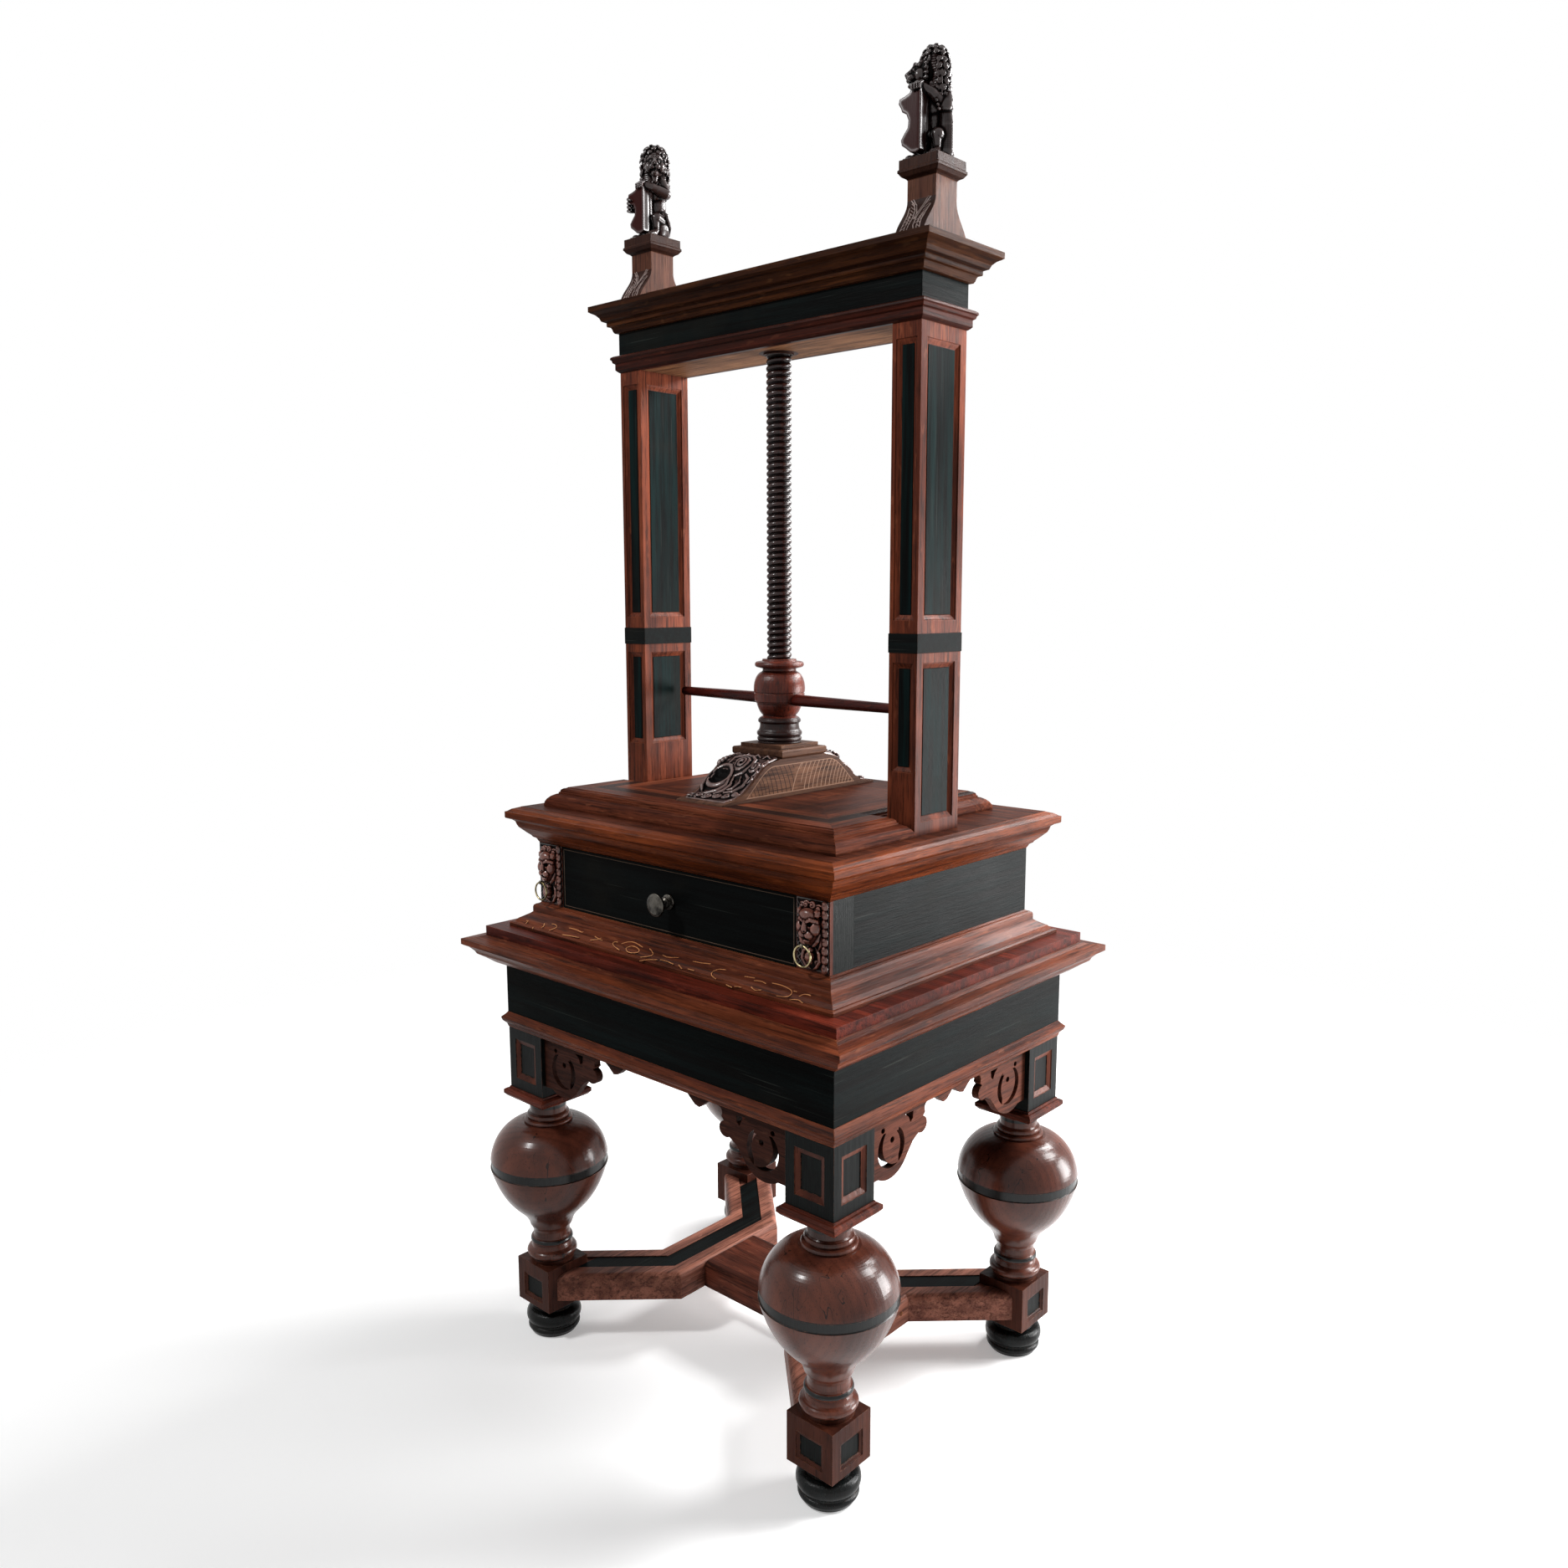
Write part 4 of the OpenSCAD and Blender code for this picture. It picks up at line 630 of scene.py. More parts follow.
# painted shade: the ground and all carving within about 5 mm of the pilaster's face go towards near
# black, fully within 1.6 mm
ground = (mask_wood.place.parts()[1] + SCALES_Y).from_to(0.0, GROUND_DEPTH)
mask_wood.glaze(ground * 0.9, (5, 3, 3))
pilaster_mask("mask_left", -PILASTER_X)
pilaster_mask("mask_right", PILASTER_X)


def metal(name, low, high, rough, scale=90.0):
    """Cast and filed metal: tarnish in patches, bright where it is rubbed."""
    f = Finish(name)
    patch = f.cloud(f.place, scale, 4.0, 0.6)
    worn = f.raised(patch, 0.0002, 0.0004)
    f.wear(Base_Color=f.blend(patch.from_to(0.35, 0.65) | worn, low, high),
           Metallic=1.0, Roughness=rough + 0.25 * (1 - patch))
    return f


dress(metal("ring_brass", (84, 74, 48), (186, 172, 132), 0.2), "ring_left", "ring_right")
staple_iron = metal("staple_iron", (60, 56, 50), (120, 112, 98), 0.35)
dress(staple_iron, "ring_eyes")

# DRAWER
# A blacked front on an oak box; the knob is turned metal on a shank through the front. A thin
# pale line is let in round the front, a little inside its edge.
drawer_black = ebonised("drawer_black", "x", chipped=0.35, rough=0.38, green=0.2, shine=0.012)
across, _, height = drawer_black.place.parts()
LINE_X, LINE_Z, FRONT_MIDDLE, LINE_HALF = 0.2438, 0.0452, 0.79325, 0.0005
edge = (abs(across) - LINE_X) | (abs(height - FRONT_MIDDLE) - LINE_Z)
lined = (abs(edge) < LINE_HALF) * (drawer_black.cloud(drawer_black.place, 30.0) + 0.2)
drawer_black.glaze(lined, (118, 98, 84))
dress(drawer_black, "drawer_front")
dress(inner_oak, "drawer_box", "drawer_bottom")
dress(metal("knob_metal", (18, 17, 16), (92, 88, 82), 0.18, 40.0), "drawer_knob")

# BED OF THE PRESS
# A thick oak slab with its moulded edge in four mitred lengths, polished by hands and books.
dress(waxed_oak("bed_oak", "x", (94, 48, 32), (58, 28, 20), shine=0.01), "bed")
dress(waxed_oak("bed_moulding", "x", (134, 64, 30), (84, 36, 17), mitre=CASE_MITRE,
                shine=0.03), "bed_cornice")

# POSTS
# Two oak posts tenoned into bed and head, each face sunk with two moulded fields that hold
# blacked panels, and a blacked band let in round the waist.
dress(waxed_oak("post_oak", "z", (128, 64, 42), (82, 38, 26)), "post_left", "post_right")
dress(ebonised("panel_black", "z", chipped=0.2, rough=0.3, green=4.0, shine=0.02), "post_panels")
dress(ebonised("band_black", "x", chipped=0.9, rough=0.4), "post_bands")

# HEAD
# An oak beam cased with architrave, blacked frieze and cornice, all mitred at the corners.
HEAD_MITRE = (0.30325, 0.05365)
dress(waxed_oak("beam_oak", "x", (150, 106, 74), (120, 80, 56), gloss=0.5), "head_beam")
dress(waxed_oak("architrave_oak", "x", (72, 30, 20), (40, 17, 12), mitre=HEAD_MITRE,
                shine=0.03), "head_architrave")
dress(ebonised("head_black", "x", HEAD_MITRE, chipped=0.3, shine=0.014), "head_frieze")
dress(waxed_oak("head_cornice_oak", "x", (76, 42, 22), (42, 21, 12), mitre=HEAD_MITRE,
                shine=0.02), "head_cornice")

# SCREW, NUT AND HUB
# The screw is turned from one length of dark wood with a right-handed rounded thread of 9.65 mm
# pitch. Its nut is let into the head, and the turned hub is wedged on below the thread.
PITCH, CREST, ROOT, TAIL = 0.00965, 0.0193, 0.0164, 0.016
THREAD_LOW, THREAD_HIGH, TAIL_LOW = 1.1383, 1.697, 0.9357
AROUND, CUT = 48, 10   # points in a turn, rows of points in a pitch
rows = int((THREAD_HIGH - THREAD_LOW) / PITCH * CUT) + CUT + 2


def rim(radius, *heights):
    """A round of points at each height."""
    turns = [2 * math.pi * i / AROUND for i in range(AROUND)]
    return [(radius * math.cos(a), radius * math.sin(a), z) for z in heights for a in turns]


points, faces = [], []
for j in range(rows):
    swell = max(0.0, math.cos(math.pi * ((j % CUT) / CUT - 0.5) / 0.86)) ** 0.7
    for i, (x, y, _) in enumerate(rim(ROOT + (CREST - ROOT) * swell, 0.0)):
        z = THREAD_LOW - PITCH + (j / CUT + i / AROUND) * PITCH
        points.append((x, y, min(max(z, THREAD_LOW), THREAD_HIGH)))
for j in range(rows - 1):
    for i in range(AROUND):
        low, high = j * AROUND + i, (j + 1) * AROUND + i
        if i < AROUND - 1:
            face = (low, low + 1, high + 1, high)
        elif j + CUT + 1 < rows:
            face = (low, (j + CUT) * AROUND, (j + CUT + 1) * AROUND, high)
        else:
            continue
        if len({round(points[k][2], 7) for k in face}) > 1:
            faces.append(face)
tail = len(points)
points += rim(TAIL, TAIL_LOW, THREAD_LOW + 0.001)
for i in range(AROUND):
    n = (i + 1) % AROUND
    faces.append((tail + i, tail + n, tail + AROUND + n, tail + AROUND + i))
faces.append(tuple(tail + AROUND - 1 - i for i in range(AROUND)))
faces.append(tuple(len(points) + i for i in range(AROUND)))
points += rim(CREST * 0.92, THREAD_HIGH)
thread = bpy.data.meshes.new("press_screw")
thread.from_pydata(points, [], faces)
thread.update()
thread.shade_smooth()
thread.set_sharp_from_angle(angle=math.radians(40.0))
screw_oak = waxed_oak("screw_oak", "z", (60, 27, 21), (36, 15, 12), (14, 6, 6),
                      gloss=0.2, shine=0.08)
across, depth, height = screw_oak.place.parts()
# painted shade: the roots of the thread go near black; the crests get the coat
groove = ((across ** 2.0 + depth ** 2.0) ** 0.5).from_to(0.0189, 0.0176) * (height > THREAD_LOW)
screw_oak.glaze(groove * 0.85, (8, 4, 4))
screw_oak.wear(Coat_Weight=(1 - groove) * 0.5, Coat_Roughness=0.2)
fit("press_screw", thread, screw_oak, "screw", ["screw"])
dress(waxed_oak("nut_oak", "z", (70, 40, 30), (48, 27, 22), (24, 13, 11), gloss=0.4), "screw_nut")
hub_oak = waxed_oak("hub_oak", "z", (118, 52, 36), (84, 36, 27), (34, 15, 13), gloss=0.22)
hub_foot = hub_oak.place.parts()[2].within(1.0, 1.0475)
hub_oak.glaze(hub_foot * 0.85, (16, 12, 12))
hub_oak.wear(Specular_IOR_Level=0.2)
dress(hub_oak, "screw_hub")

# LEVER
# A tapered bar that slides through the hub; the ends stop just short of the posts.
dress(waxed_oak("lever_oak", "x", (84, 28, 20), (58, 18, 14), (26, 9, 8),
                gloss=0.2, shine=0.08), "lever")

# PLATEN AND SADDLE
# The platen presses the books; a dark band between two pale strings is let into its top round a
# darker middle field. The saddle on it spreads the force, and a grotesque mask is carved on
# each of its sloping ends.
PLATEN_X, PLATEN_Y, PLATEN_TOP = 0.306, 0.229, 0.9262
BAND_OUT, BAND_IN, STRING_IN, FIELD, STRING_HALF = 0.055, 0.081, 0.0815, 0.104, 0.0007
platen_oak = waxed_oak("platen_oak", "x", (118, 62, 42), (80, 38, 26),
                       mitre=(PLATEN_X, PLATEN_Y), shine=0.01)
across, depth, height = platen_oak.place.parts()
inward = (PLATEN_X - abs(across)) & (depth + PLATEN_Y)
top = height > PLATEN_TOP
banded = inward.within(BAND_OUT, BAND_IN)
strings = (abs(inward - BAND_OUT) < STRING_HALF) | (abs(inward - STRING_IN) < STRING_HALF)
mitre_line = (abs(PLATEN_X - abs(across) - depth - PLATEN_Y) < 0.0006) * (inward < FIELD)
streak = platen_oak.cloud(lengthwise(platen_oak, "y", squeeze=0.08), 22.0, 3.0)
field = (inward > FIELD) * (0.55 + 0.4 * streak.from_to(0.4, 0.6))
platen_oak.glaze((banded * 0.86 | field * 0.8 | mitre_line * 0.7) * top, (20, 14, 13))
platen_oak.glaze(strings * top * 0.5, (128, 84, 58))
dress(platen_oak, "platen")

# leaf work on the saddle's flat sides: a border, ribs, and the vein from which they fan out
SADDLE_LOW, SADDLE_RISE, CREST_END, SLOPE_END = 0.9305, 0.057, 0.064, 0.156
FAN_Y, VEIN_Y, VEIN_Z, BORDER, RIBS_IN = 0.012, 0.0225, 0.9427, 0.008, 0.024
saddle_oak = waxed_oak("saddle_oak", "y", (122, 84, 62), (88, 58, 44), gloss=0.4)
_, depth, height = saddle_oak.place.parts()
slope = SADDLE_LOW + SADDLE_RISE * (1 - abs(depth).from_to(CREST_END, SLOPE_END))
inside = (slope - height - BORDER) & (height - 0.937)
vein_rise = height - VEIN_Z
vein = abs(depth + VEIN_Y - vein_rise * 0.3 - (vein_rise * 4.6) ** 2.0 * 0.3) < 0.0009
off = abs(depth + FAN_Y)
along_slope = off * -0.8 + height * 0.6 + ((slope - height) * 9.0) ** 2.0 * 0.06
ribs = (along_slope * 785.0).sine().from_to(0.72, 0.98) * (off > 0.008)
ribs = ribs * inside.within(0.0, RIBS_IN)
saddle_oak.glaze((inside < 0.0) * 0.45, (58, 38, 31))
# the carving is drawn in colour: the ribs of the front half as painted shade in their grooves, the
# ribs of the back half, the vein and the border line as painted highlights
saddle_oak.glaze(ribs * (depth < -FAN_Y) * 0.9, (34, 22, 18))
saddle_oak.glaze((ribs * (depth > -FAN_Y) * 0.8) | (vein * (inside > 0.0) * 0.8), (150, 118, 98))
saddle_oak.glaze((abs(inside) < 0.0007) * 0.7, (150, 116, 96))
dress(saddle_oak, "saddle")
dress(staple_iron, "retaining_washer")


def saddle_mask(name, end):
    """The grotesque on one end of the saddle; end is -1 at the front, 1 at the back."""
    run = (50, 56, 72, 86, 100, 116, 132, 148, 176, 178)
    rise = (59.5, 57.5, 54, 49, 38, 25, 14, 7, 2.5, 0)

    def place(p):
        up = SADDLE_LOW * 1000 + float(np.interp(p.z, run, rise)) + p.y
        return Vector((-end * p.x, end * p.z, up)) / 1000

    c = Carving(place)
    for k in range(20):
        low = 54 + 5.6 * k
        wide = 45 - 0.9 * max(0, k - 14)
        c.slab([(-wide, low), (wide, low), (wide, low + 6), (-wide, low + 6)], -2.0, 3.4 - 0.12 * k)
    c.lump((-20, 1, 108), (26, 6, 28))
    c.lump((6, 1, 90), (24, 6, 22))
    c.lump((-26, 2, 76), (18, 6, 14))
    # lips round the open mouth, running out into ribbons
    turns = [math.radians(a) for a in range(-160, 161, 16)]
    lip = [(-19 + 20 * math.cos(a), 6.5, 114 - 18 * math.sin(a)) for a in turns]
    c.roll(lip, [2.2, 3.2, 3.4, 3.0, 3.4, 3.0, 2.4])
    c.roll([(2, 6, 116), (6, 5.5, 128), (0, 5, 140), (-16, 4, 148), (-32, 3, 155)],
           [2.2, 3.0, 3.2, 2.6, 1.6])
    c.roll([(8, 5, 112), (14, 5, 126), (10, 4.5, 138), (0, 4, 147)], [1.8, 2.6, 2.6, 1.4])
    c.roll([(-43, 4, 104), (-44, 5, 118), (-40, 5, 132), (-30, 4, 142)], [1.8, 2.8, 2.8, 1.6])
    # eye, brow and temple scrolls
    c.roll(curl((3, 5.5, 90), 15.5, 150, 2.4, 1, 3.0), [2.2, 2.8, 2.6, 2.4, 2.4], 7)
    c.roll([(-22, 5, 92), (-20, 6, 80), (-8, 6, 71), (10, 5.5, 70), (22, 5, 78), (25, 5, 92),
            (18, 5, 104), (6, 5, 110)],
           [1.8, 3.0, 3.2, 3.0, 3.0, 2.8, 2.6, 1.6])
    c.roll(curl((33, 4.5, 92), 9.0, 200, 1.8, -1, 2.0), [1.6, 2.2, 2.2, 2.0], 7)
    c.roll([(26, 4, 104), (36, 4, 110), (38, 4, 124), (28, 3.5, 136), (14, 3.5, 140)],
           [1.6, 2.6, 2.8, 2.4, 1.4])
    c.roll([(20, 4, 108), (26, 4, 118), (22, 4, 130), (12, 3.5, 134)], [1.4, 2.2, 2.2, 1.2])
    for k in range(6):
        q = k / 5
        c.lump((-42 + 17 * q, 6.0, 92 - 22 * q), (4.0, 4.2, 4.4))
    for k in range(4):
        c.roll([(-34 + 20 * k, 3.5, 66), (-29 + 20 * k, 5.5, 60), (-22 + 20 * k, 4, 63)],
               [1.4, 2.6, 1.2], 6)
        c.roll([(40, 3.5, 70 + 12 * k), (44, 4.2, 76 + 12 * k), (40, 3.2, 82 + 12 * k)],
               [1.2, 2.0, 1.0], 6)
    # foot scrolls
    feet = ((-36, 160, 6), (-22, 156, 7.5), (-6, 155, 8), (11, 152, 8), (27, 148, 7), (38, 140, 5))
    for k, (u, d, size) in enumerate(feet):
        scroll = curl((u, 2.6, d), size, 30 + 60 * k, 1.7, 1 if k % 2 else -1, 1.6)
        c.roll(scroll, [1.4, 2.0, 1.9, 1.7], 6)
    # the cuts in the open mouth also take painted shade
    cuts = [((-19 + a, 6.0, 114 + b), 9.0, 3.6, 1) for a in (-8, 0, 8) for b in (-6, 0, 6)]
    cuts += [((25, 4, 112), 3.0, 2.4), ((14, 4, 118), 3.4, 2.2), ((-12, 6, 88), 3.6, 2.0),
             ((3, 8, 90), 2.2, 1.4)]
    c.hang(name, 0.85, 1, mask_dark, "platen", (), cuts)


mask_dark = carved("mask_dark", (112, 84, 78), (40, 22, 20), (2, 1, 1), 0.2, 1.0)
saddle_mask("saddle_mask_front", -1)
saddle_mask("saddle_mask_back", 1)

# PEDESTALS AND LIONS
# Two flared blocks of oak with moulded caps are dowelled to the head; leaf scrolls are carved on
# their front and back. On each sits a lion with a shield, carved from one block and blacked.
POST_X, HEAD_TOP, CAP_TOP = 278.45, 1699, 1805.25
pedestal_oak = waxed_oak("pedestal_oak", "z", (104, 66, 50), (74, 43, 33),
                         (38, 21, 17), shine=0.03)
_, depth, height = pedestal_oak.place.parts()
flare = 0.0372 + 0.0135 * ((height - 1.703) * (math.pi / 0.054) + math.pi / 2).sine()
front = ((abs(depth) - flare) > 0.0) * (height < 1.7565)
cap = height > 1.7835
pedestal_oak.glaze(cap * 0.75 | front * 0.8, (32, 18, 15))
dress(pedestal_oak, "pedestal_left", "pedestal_right")


def pedestal_leaves(name, middle, end):
    """Two facing leaf scrolls on the hollow front of a pedestal; end is -1 there, 1 behind."""

    def place(p):
        t = min(max((p.z - 4) / 54, 0.0), 1.0)
        out = 23.3 + 13.5 * (1 + math.cos(math.pi * t)) + p.y
        return Vector((middle + p.x, end * out, HEAD_TOP + p.z)) / 1000

    c = Carving(place)
    for k in (-1, 1):
        c.roll([(k * 16, 1, 57), (k * 10, 1.2, 51), (k * 5, 1.4, 41), (k * 3, 1.4, 31),
                (k * 4, 1.4, 18), (k * 8, 1, 5)], 1.0, 6)
        c.roll([(k * 12.5, 1, 58), (k * 5.5, 1.2, 49), (k * 0.8, 1.2, 38), (-k * 0.8, 1, 28)],
               0.8, 6)
        c.roll([(k * 17, 1, 47), (k * 14.5, 1.4, 36), (k * 14, 1.4, 24), (k * 16, 1.2, 12),
                (k * 15, 1, 4)], 1.0, 6)
        c.roll([(k * 11, 0.8, 38), (k * 8.5, 1, 27), (k * 9.5, 1, 16), (k * 12, 0.8, 7)], 0.8, 6)
        for j in range(7):
            c.roll([(k * (15.5 - 0.7 * j), 0.8, 53 - 4.6 * j),
                    (k * (9.5 - 0.9 * j), 0.8, 48.5 - 4.6 * j)], 0.6, 5)
        for j in range(4):
            c.roll([(k * 13.5, 0.8, 30 - 5 * j), (k * 10, 0.8, 33 - 5 * j)], 0.6, 5)
    c.hang(name, 0.6, 0, leaf_wood, "frame")


leaf_wood = carved("leaf_wood", (168, 148, 142), (92, 66, 58), (24, 14, 12), 0.3, 0.5)
for side, hand in ((-1, "left"), (1, "right")):
    for end, face in ((-1, "front"), (1, "back")):
        pedestal_leaves("pedestal_leaves_%s_%s" % (hand, face), side * POST_X, end)

lion_wood = carved("lion_wood", (52, 37, 35), (28, 9, 7), (3, 2, 2), 0.2, 0.9)
_, depth, height = lion_wood.place.parts()
shield = (depth > -0.0318) * (depth < -0.0302) * (height < 1.889)
lion_wood.glaze(shield * 0.9, (46, 13, 11))


def lion(name, side, arris):
    """side -1 or 1; arris is the shield's lit edge, measured along x from the cap's middle."""
    middle, inner = side * POST_X, -side

    def place(p):
        return Vector(((middle + p.x) / 1000, p.y / 1000, (CAP_TOP + 0.995 * p.z) / 1000))

    c = Carving(place)

    def at(u, v, w):
        """u towards the middle of the press."""
        return (inner * u, v, w)

    def facing(a, b, w):
        """a forward of the lion's head, b to its inner side, both from the cap's middle."""
        return at(0.707 * (a + b), 0.707 * (b - a), w)

    turn = 45.0 * inner
    # ground, rump, belly and chest
    c.slab([(-24, 0), (24, 0), (24, 2.6), (-24, 2.6)], -29, 28)
    for u, v, w, r in ((3, 12, 16, (19, 17, 16)), (3, 12, 34, (17, 15.5, 18)),
                       (3, 9, 56, (14.5, 15, 20)), (3, 4, 74, (15, 15, 18))):
        c.lump(at(u, v, w), r)
    c.limb([at(5, -10, 40), at(6, -12, 60), at(6, -12, 80)], [5, 6, 8])
    # haunches, hind legs and paws
    for k, paw in ((1, 23), (-1, -16)):
        c.lump(at(3 + k * 11, 6, 21), (11, 16, 19))
        c.limb([at(3 + k * 12, 4, 30), at(3 + k * 14.5, -6, 33)], [11, 9])
        c.limb([at(3 + k * 15, -8, 31), at(3 + k * 15.5, -7, 14), at(paw, -16, 6)], [7, 4.6, 5])
        c.lump(at(paw, -19, 6.0), (6.5, 8, 5))
        for toe in (-4.6, -1.6, 1.6, 4.6):
            c.limb([at(paw + toe, -20, 6.5), at(paw + toe * 1.15, -26.5, 4.2)], [2.4, 2.1])
    if side > 0:
        c.limb([(14, 8, 70), (15.5, 9, 45), (15, 9, 14)], [9, 11.5, 12])
    # tail, laid round the inner hip
    c.limb([at(10, 27, 14), at(21, 20, 22), at(26, 11, 31)], [2.6, 2.6, 3.4])
    c.limb([at(26, 11, 31), at(27.5, 7.5, 38), at(26, 4, 42)], [3.6, 3.0, 2.0])
    # shield, thick and carved from the same block
    shape = [(0, 11), (-9, 8.5), (-17, 10), (-24, 16), (-31, 21), (-32.5, 28), (-27, 35),
             (-21.5, 41), (-20.5, 50), (-24, 58), (-31, 62), (-33, 67), (-37, 73), (-35.5, 79),
             (-27, 80.5), (-19, 83), (-16, 89), (0, 90)]
    top = 82 if side < 0 else 92
    c.slab([(arris + x, z * top / 90) for x, z in shape], -31, -18)
    c.slab([(arris - 1.8, 11), (arris, 11), (arris + 0.4, top), (arris - 1.4, top)], -32.0, -18)
    # arms: the nearer reaches over the top of the shield, the other holds its outer edge
    top_paw = arris - 6
    if side < 0:
        c.limb([(17, 7, 90), (24.5, 9, 71)], [8, 8.3])
        c.limb([(25.5, 8, 71), (top_paw + 12, -16, top - 4), (top_paw + 2, -28, top)],
               [8.4, 6.2, 4.8])
    else:
        c.limb([(14, 8, 88), (16.5, 5, 71)], [8, 11])
        c.limb([(13, 0, 74), (8, -14, 84), (top_paw + 2, -28, top)], [8.0, 6.2, 4.8])
    c.lump((top_paw, -30, top), (7.5, 5.5, 5))
    for toe in (top_paw + t for t in (-6, -2, 2, 6)):
        tip = top_paw + (toe - top_paw) * 1.05
        c.limb([(toe, -29, top + 3), (tip, -34.0, top), (tip, -34.6, top - 5.5)], [2.3, 2.3, 1.7])
    if side < 0:
        edge = arris - 36
        c.limb([(-18, 4, 84), (edge + 5, 2, 64), (edge + 2, -20, 54)], [8.5, 6.5, 4.6])
        for w in (46, 52, 58, 64):
            c.limb([(edge + 3, -17, w + 1.5), (edge - 0.5, -26, w + 0.5),
                    (edge + 2, -33.0, w - 0.5), (edge + 9.5, -34.0, w - 3.5)],
                   [2.4, 2.7, 2.6, 1.6])
    # mane mass and head
    def mane(w):
        """Middle and half sizes of the mane at height w, along and across the head's way."""
        crown = min(1.0, max(0.0, (w - 112) / 18))
        dome = max(0.02, 1 - max(0.0, (w - 122) / 26.5) ** 2.2) ** 0.5
        neck = 1.0 - 0.14 * (max(0.0, 92 - w) / 18) ** 1.5
        dome = dome * neck
        return -7.5 + 5.5 * crown, (14.5 + 3.5 * crown) * dome, (21.5 - 1.0 * crown) * dome

    def mane_point(angle, w, out=0.0):
        a, ra, rb = mane(w)
        t = math.radians(angle)
        return Vector(facing(a + (ra + out) * math.cos(t), 5.6 + (rb + out) * math.sin(t), w))

    for w in range(74, 147, 3):
        a, ra, rb = mane(w)
        c.lump(facing(a, 5.6, w), (ra - 0.8, rb - 0.8, 5.0 if w < 140 else 3.0), -turn)
    h = 7.2   # the middle of the face lies this far to the inner side
    c.lump(facing(7, h, 118), (16, 15.5, 20), -turn)
    c.lump(facing(18, h, 115), (11.5, 11, 12.5), -turn)
    for k in (-1, 1):
        c.limb([facing(26, h + k * 1.8, 121.5), facing(25, h + k * 6, 124),
                facing(20, h + k * 10.5, 122)], [2.6, 3.0, 2.4])
        c.lump(facing(26.0, h + k * 5.7, 117.6), (2.8, 2.5, 2.0), -turn)
        c.lump(facing(18.5, h + k * 9.6, 110.5), (7.5, 6.0, 8.0), -turn)
        c.lump(facing(30.0, h + k * 4.2, 107.8), (5.6, 5.2, 4.2), -turn)
        c.lump(facing(8, h + k * 14.5, 129.0), (3.5, 4.6, 5.6), -turn)
        c.lump(facing(34.6, h + k * 2.7, 111.6), (2.6, 2.5, 2.2), -turn)
    c.limb([facing(22, h, 124), facing(28.5, h, 117), facing(33.5, h, 113.4)], [4.6, 4.0, 3.6])
    c.lump(facing(35.2, h, 112.6), (3.0, 4.4, 2.6), -turn)
    c.limb([facing(20, h, 101), facing(27.5, h, 99.2)], [6.5, 5.0])
    c.lump(facing(30.6, h, 99.0), (3.4, 4.4, 2.6), -turn)
    c.limb([facing(22, h, 95), facing(23, h, 89)], [5.0, 3.4])
    # locks: rolled curls and waves in staggered rows over the crown and down the neck
    rng = random.Random(7 + side)
    for row, w in enumerate((72, 81, 90, 99, 108, 117, 126, 134.5, 141, 145.5)):
        _, ra, rb = mane(w)
        around = 2 * math.pi * ((ra * ra + rb * rb) / 2) ** 0.5
        count = max(1, round(around / 10.2))
        for i in range(count):
            angle = 360.0 * (i + 0.5 * (row % 2)) / count + rng.uniform(-5, 5)
            bare = 62 if 86 < w < 131 else (50 if w <= 86 else 0)
            if abs((angle + 180) % 360 - 180) < bare:
                continue
            here = mane_point(angle, w + rng.uniform(-1, 1), 0.2)
            under = mane_point(angle + 0.1, w - (0 if w < 125 else 2.2), 0.0)
            out = (mane_point(angle + 0.1, w, 3.0) - under).normalized()
            up = Vector((0, 0, 1)) if abs(out.z) < 0.9 else Vector(facing(1, 0, 0))
            up = (up - out * up.dot(out)).normalized()
            across = out.cross(up)
            hand = 1 if (i + row) % 2 else -1
            size = rng.uniform(4.1, 4.9)
            lock = []
            for j in range(15):
                q = j / 14
                th, r = hand * q * 8.6 + 1.2, size * (1.0 - 0.82 * q)
                lock.append(here + across * r * math.cos(th) + up * r * math.sin(th)
                            + out * (0.7 + 2.0 * q))
            c.roll(lock, [1.0, 1.35, 1.35, 1.25, 1.3], 6)
            if w < 138:
                end, sway = lock[0], across * hand
                c.roll([end, end - up * 3.0 - sway * 1.6 + out * 0.3,
                        end - up * 6.4 + sway * 1.4 + out * 0.2,
                        end - up * 9.4 - sway * 0.6 - out * 0.6], [1.2, 1.5, 1.3, 0.8], 6)
    # fringe of small curls round the face
    for j in range(15):
        th = math.radians(-118 + 236 * j / 14)
        ring = Vector(facing(10.5, h + 15.8 * math.sin(th), 115.5 + 20.5 * math.cos(th)))
        radial = Vector(facing(0, math.sin(th), math.cos(th)))
        ahead = Vector(facing(1, 0, 0))
        sideways = radial.cross(ahead)
        hand = 1 if j % 2 else -1
        small = []
        for q in range(8):
            r, spin = 2.6 * (1 - q / 9), hand * q * 0.95
            small.append(ring + radial * r * math.cos(spin) + sideways * r * math.sin(spin)
                         + ahead * (1.2 + q * 0.35))
        c.roll(small, [1.2, 1.4, 1.3, 1.1], 6)
        c.lump(ring, 3.0)
        back = (h + 12.4 * math.sin(th + 0.1), 115.0 + 16.0 * math.cos(th + 0.1))
        c.lump(facing(14.0, *back), (2.0, 2.0, 2.0))
    for row in range(3):
        for i in range(4 - row % 2):
            here = Vector(facing(13.0 - row * 1.2, 7 + (i - 1.5 + 0.5 * (row % 2)) * 6.2,
                                 93 - row * 6.5))
            sway = Vector(facing(0, 1, 0)) * (1 if (i + row) % 2 else -1)
            c.roll([here + Vector((0, 0, 4)), here + sway * 2.0,
                    here - sway * 1.4 - Vector((0, 0, 4)), here + sway * 0.8 - Vector((0, 0, 7.5))],
                   [1.6, 2.0, 1.7, 0.9], 6)
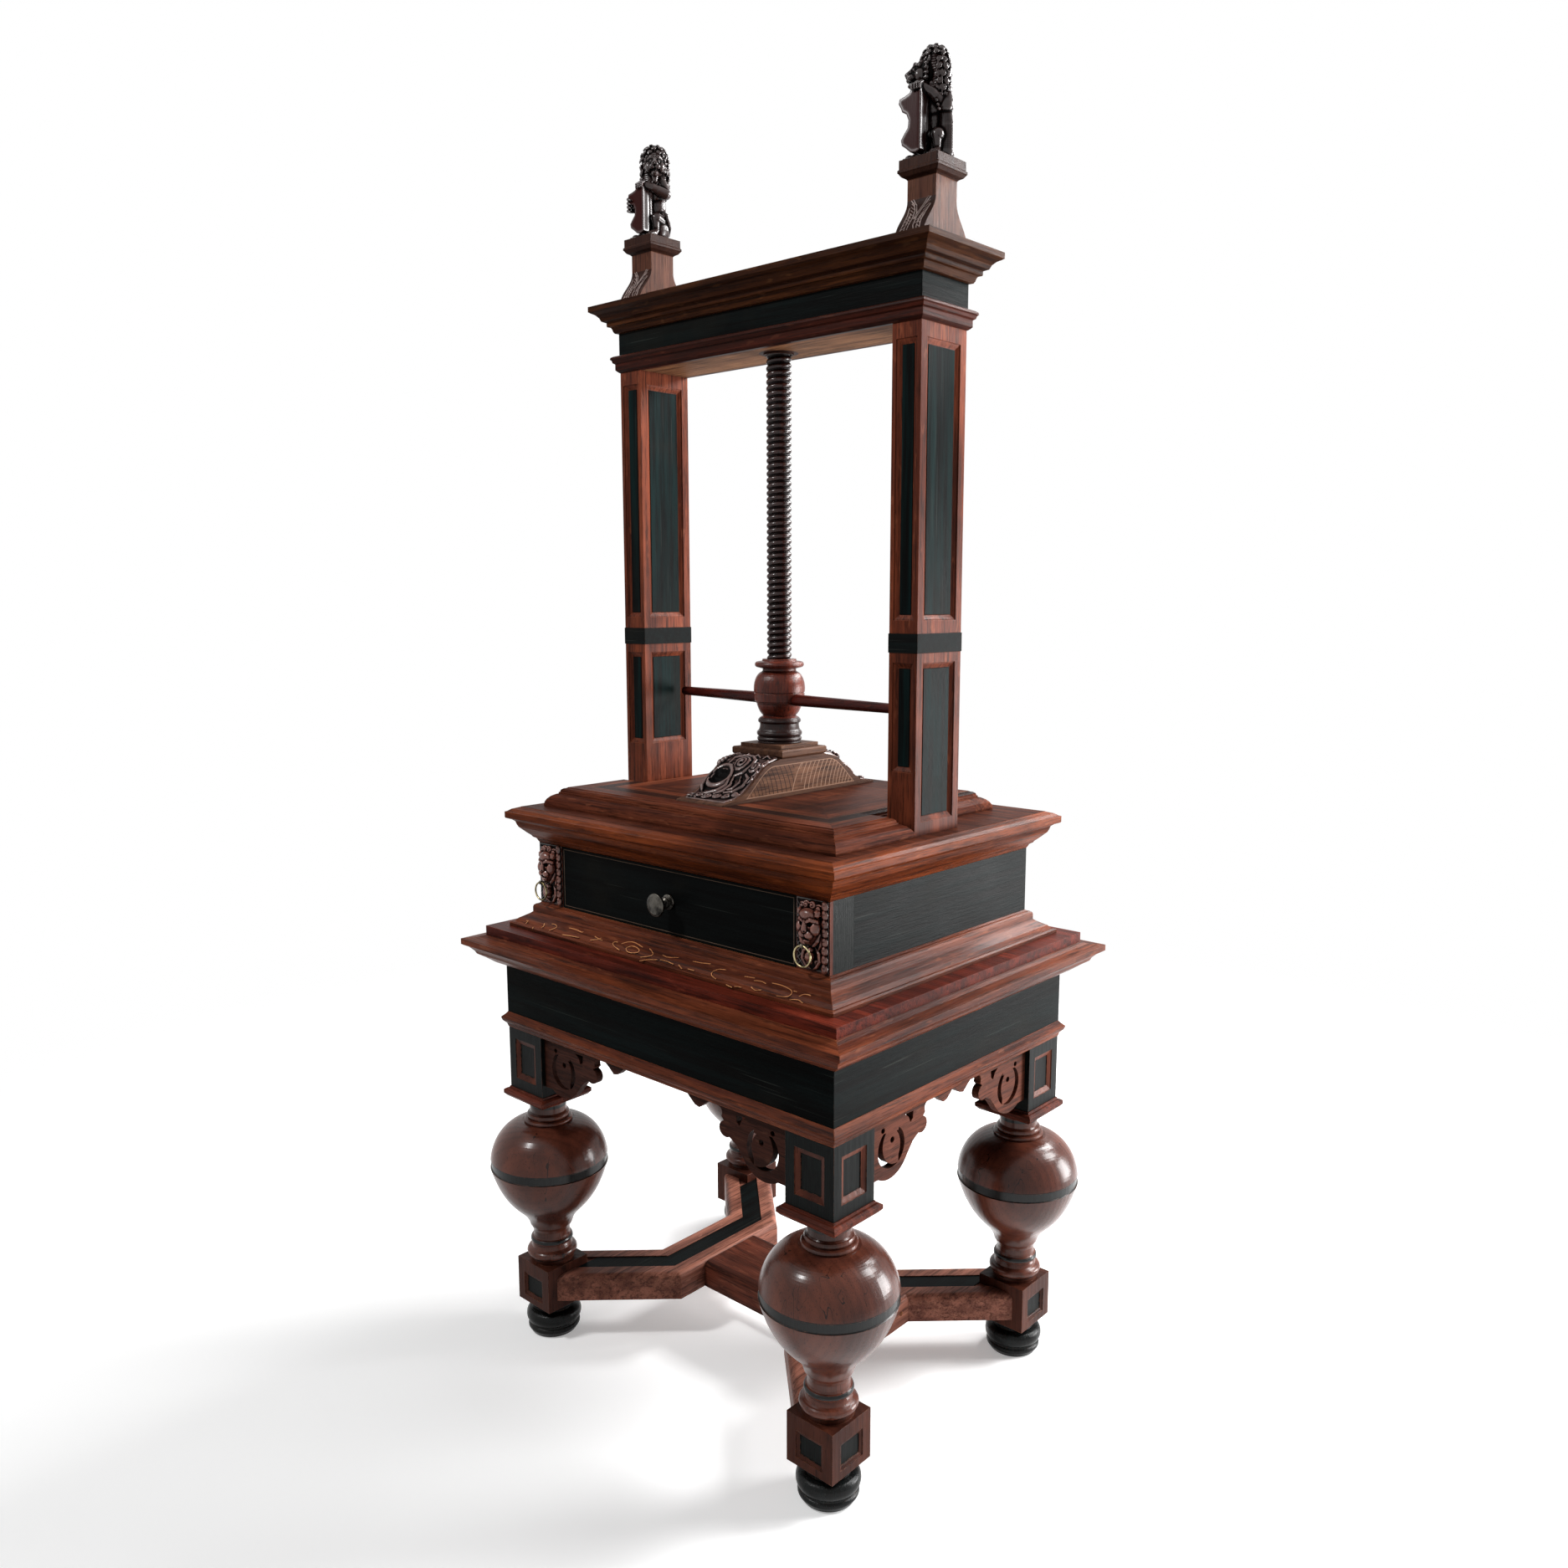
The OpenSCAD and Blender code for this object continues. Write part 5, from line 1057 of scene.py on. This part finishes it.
    # beads of mane down the outer breast
    for j in range(7):
        q = j / 6
        c.lump(at(-6 - 10 * q, -13.5 + 3.5 * q, 96 - 33 * q), 2.7 - 0.5 * q, fine=2)
    cuts = []
    for k in (-1, 1):
        cuts += [(facing(28.5, h + k * 2.5, 118.0), 3.0, 1.5),
                 (facing(25.0, h + k * 9.4, 117.5), 2.8, 1.4),
                 (facing(27.5, h + k * 6.0, 114.2), 2.4, 0.9),
                 (facing(37.0, h + k * 2.0, 111.2), 1.7, 1.5),
                 (facing(10, h + k * 16.6, 129.5), 3.0, 1.6)]
    for b in (-6, -4, -2, 0, 2, 4, 6):
        cuts.append((facing(32.0 - abs(b) * 0.75, h + b, 103.2), 2.9, 3.6))
    cuts.append((facing(35.5, h, 108.6), 2.0, 1.2))
    c.hang(name + "_carved", 0.8, 1, lion_wood, "frame", (name,), cuts)


lion("lion_left", -1, 14)
lion("lion_right", 1, 2)

# STUDIO
# A pale floor fades into a white surround. Three soft lamps stand behind the press to its
# right: window low, skylight and clerestory high. The lantern, small, hangs at the front left.
FLOOR_RADIUS, FLOOR_EDGES = 4.5, 64
floor = bpy.data.meshes.new("floor")
turns = [2 * math.pi * i / FLOOR_EDGES for i in range(FLOOR_EDGES)]
floor.from_pydata([(FLOOR_RADIUS * math.cos(a), FLOOR_RADIUS * math.sin(a), 0.0) for a in turns],
                  [], [tuple(range(FLOOR_EDGES))])
stand("floor", floor)
pale = Finish("floor_pale")
across, depth, _ = pale.place.parts()
far = ((across ** 2.0 + depth ** 2.0) ** 0.5).from_to(0.9, 2.6)
seen = (pale.add("ShaderNodeLightPath", {}, {}, "Is Camera Ray")
        | pale.add("ShaderNodeLightPath", {}, {}, "Is Glossy Ray"))
pale.wear(Base_Color=(240, 240, 240), Roughness=0.9, Alpha=1 - far, Specular_IOR_Level=0.0,
          Emission_Color=pale.blend(seen, [0, 0, 0, 1], [0.3, 0.3, 0.3, 1]), Emission_Strength=1.0)
floor.materials.append(pale.material)

surround = Finish("surround", bpy.data.worlds, "Background")
clear = surround.add("ShaderNodeLightPath", {}, {}, "Is Camera Ray")
for ray in ("Is Glossy Ray", "Is Transmission Ray"):
    clear = clear | surround.add("ShaderNodeLightPath", {}, {}, ray)
surround.wear(Color=(255, 255, 255), Strength=0.15 + 0.85 * clear)
bpy.context.scene.world = surround.material


def lamp(name, place, aim, wide, high, power):
    data = bpy.data.lights.new(name, "AREA")
    data.shape, data.size, data.size_y, data.energy = "RECTANGLE", wide, high, power
    made = stand(name, data)
    made.location = place
    made.rotation_euler = (Vector(aim) - Vector(place)).to_track_quat("-Z", "Y").to_euler()


lamp("window", (2.0, 2.1, 0.75), (0.3, 0, 0.75), 1.0, 1.4, 120)
lamp("skylight", (1.8, 2.0, 2.6), (0.1, 0, 0.8), 1.0, 1.0, 110)
lamp("clerestory", (0.4, 2.4, 2.6), (0.3, 0, 0.75), 1.0, 0.8, 100)
lamp("lantern", (-0.9, -1.9, 3.0), (0, 0, 0.7), 0.4, 0.4, 50)

camera = stand("camera", bpy.data.cameras.new("camera"))
camera.data.sensor_width, camera.data.lens = 36.0, 28.82
camera.location = (1.3234, -1.4541, 1.2309)
camera.rotation_euler = [math.radians(a) for a in (81.603, 0.0, 42.10)]
camera.rotation_euler.rotate_axis("Z", math.radians(-0.07))
bpy.context.scene.camera = camera
bpy.context.scene.view_settings.view_transform = "Standard"
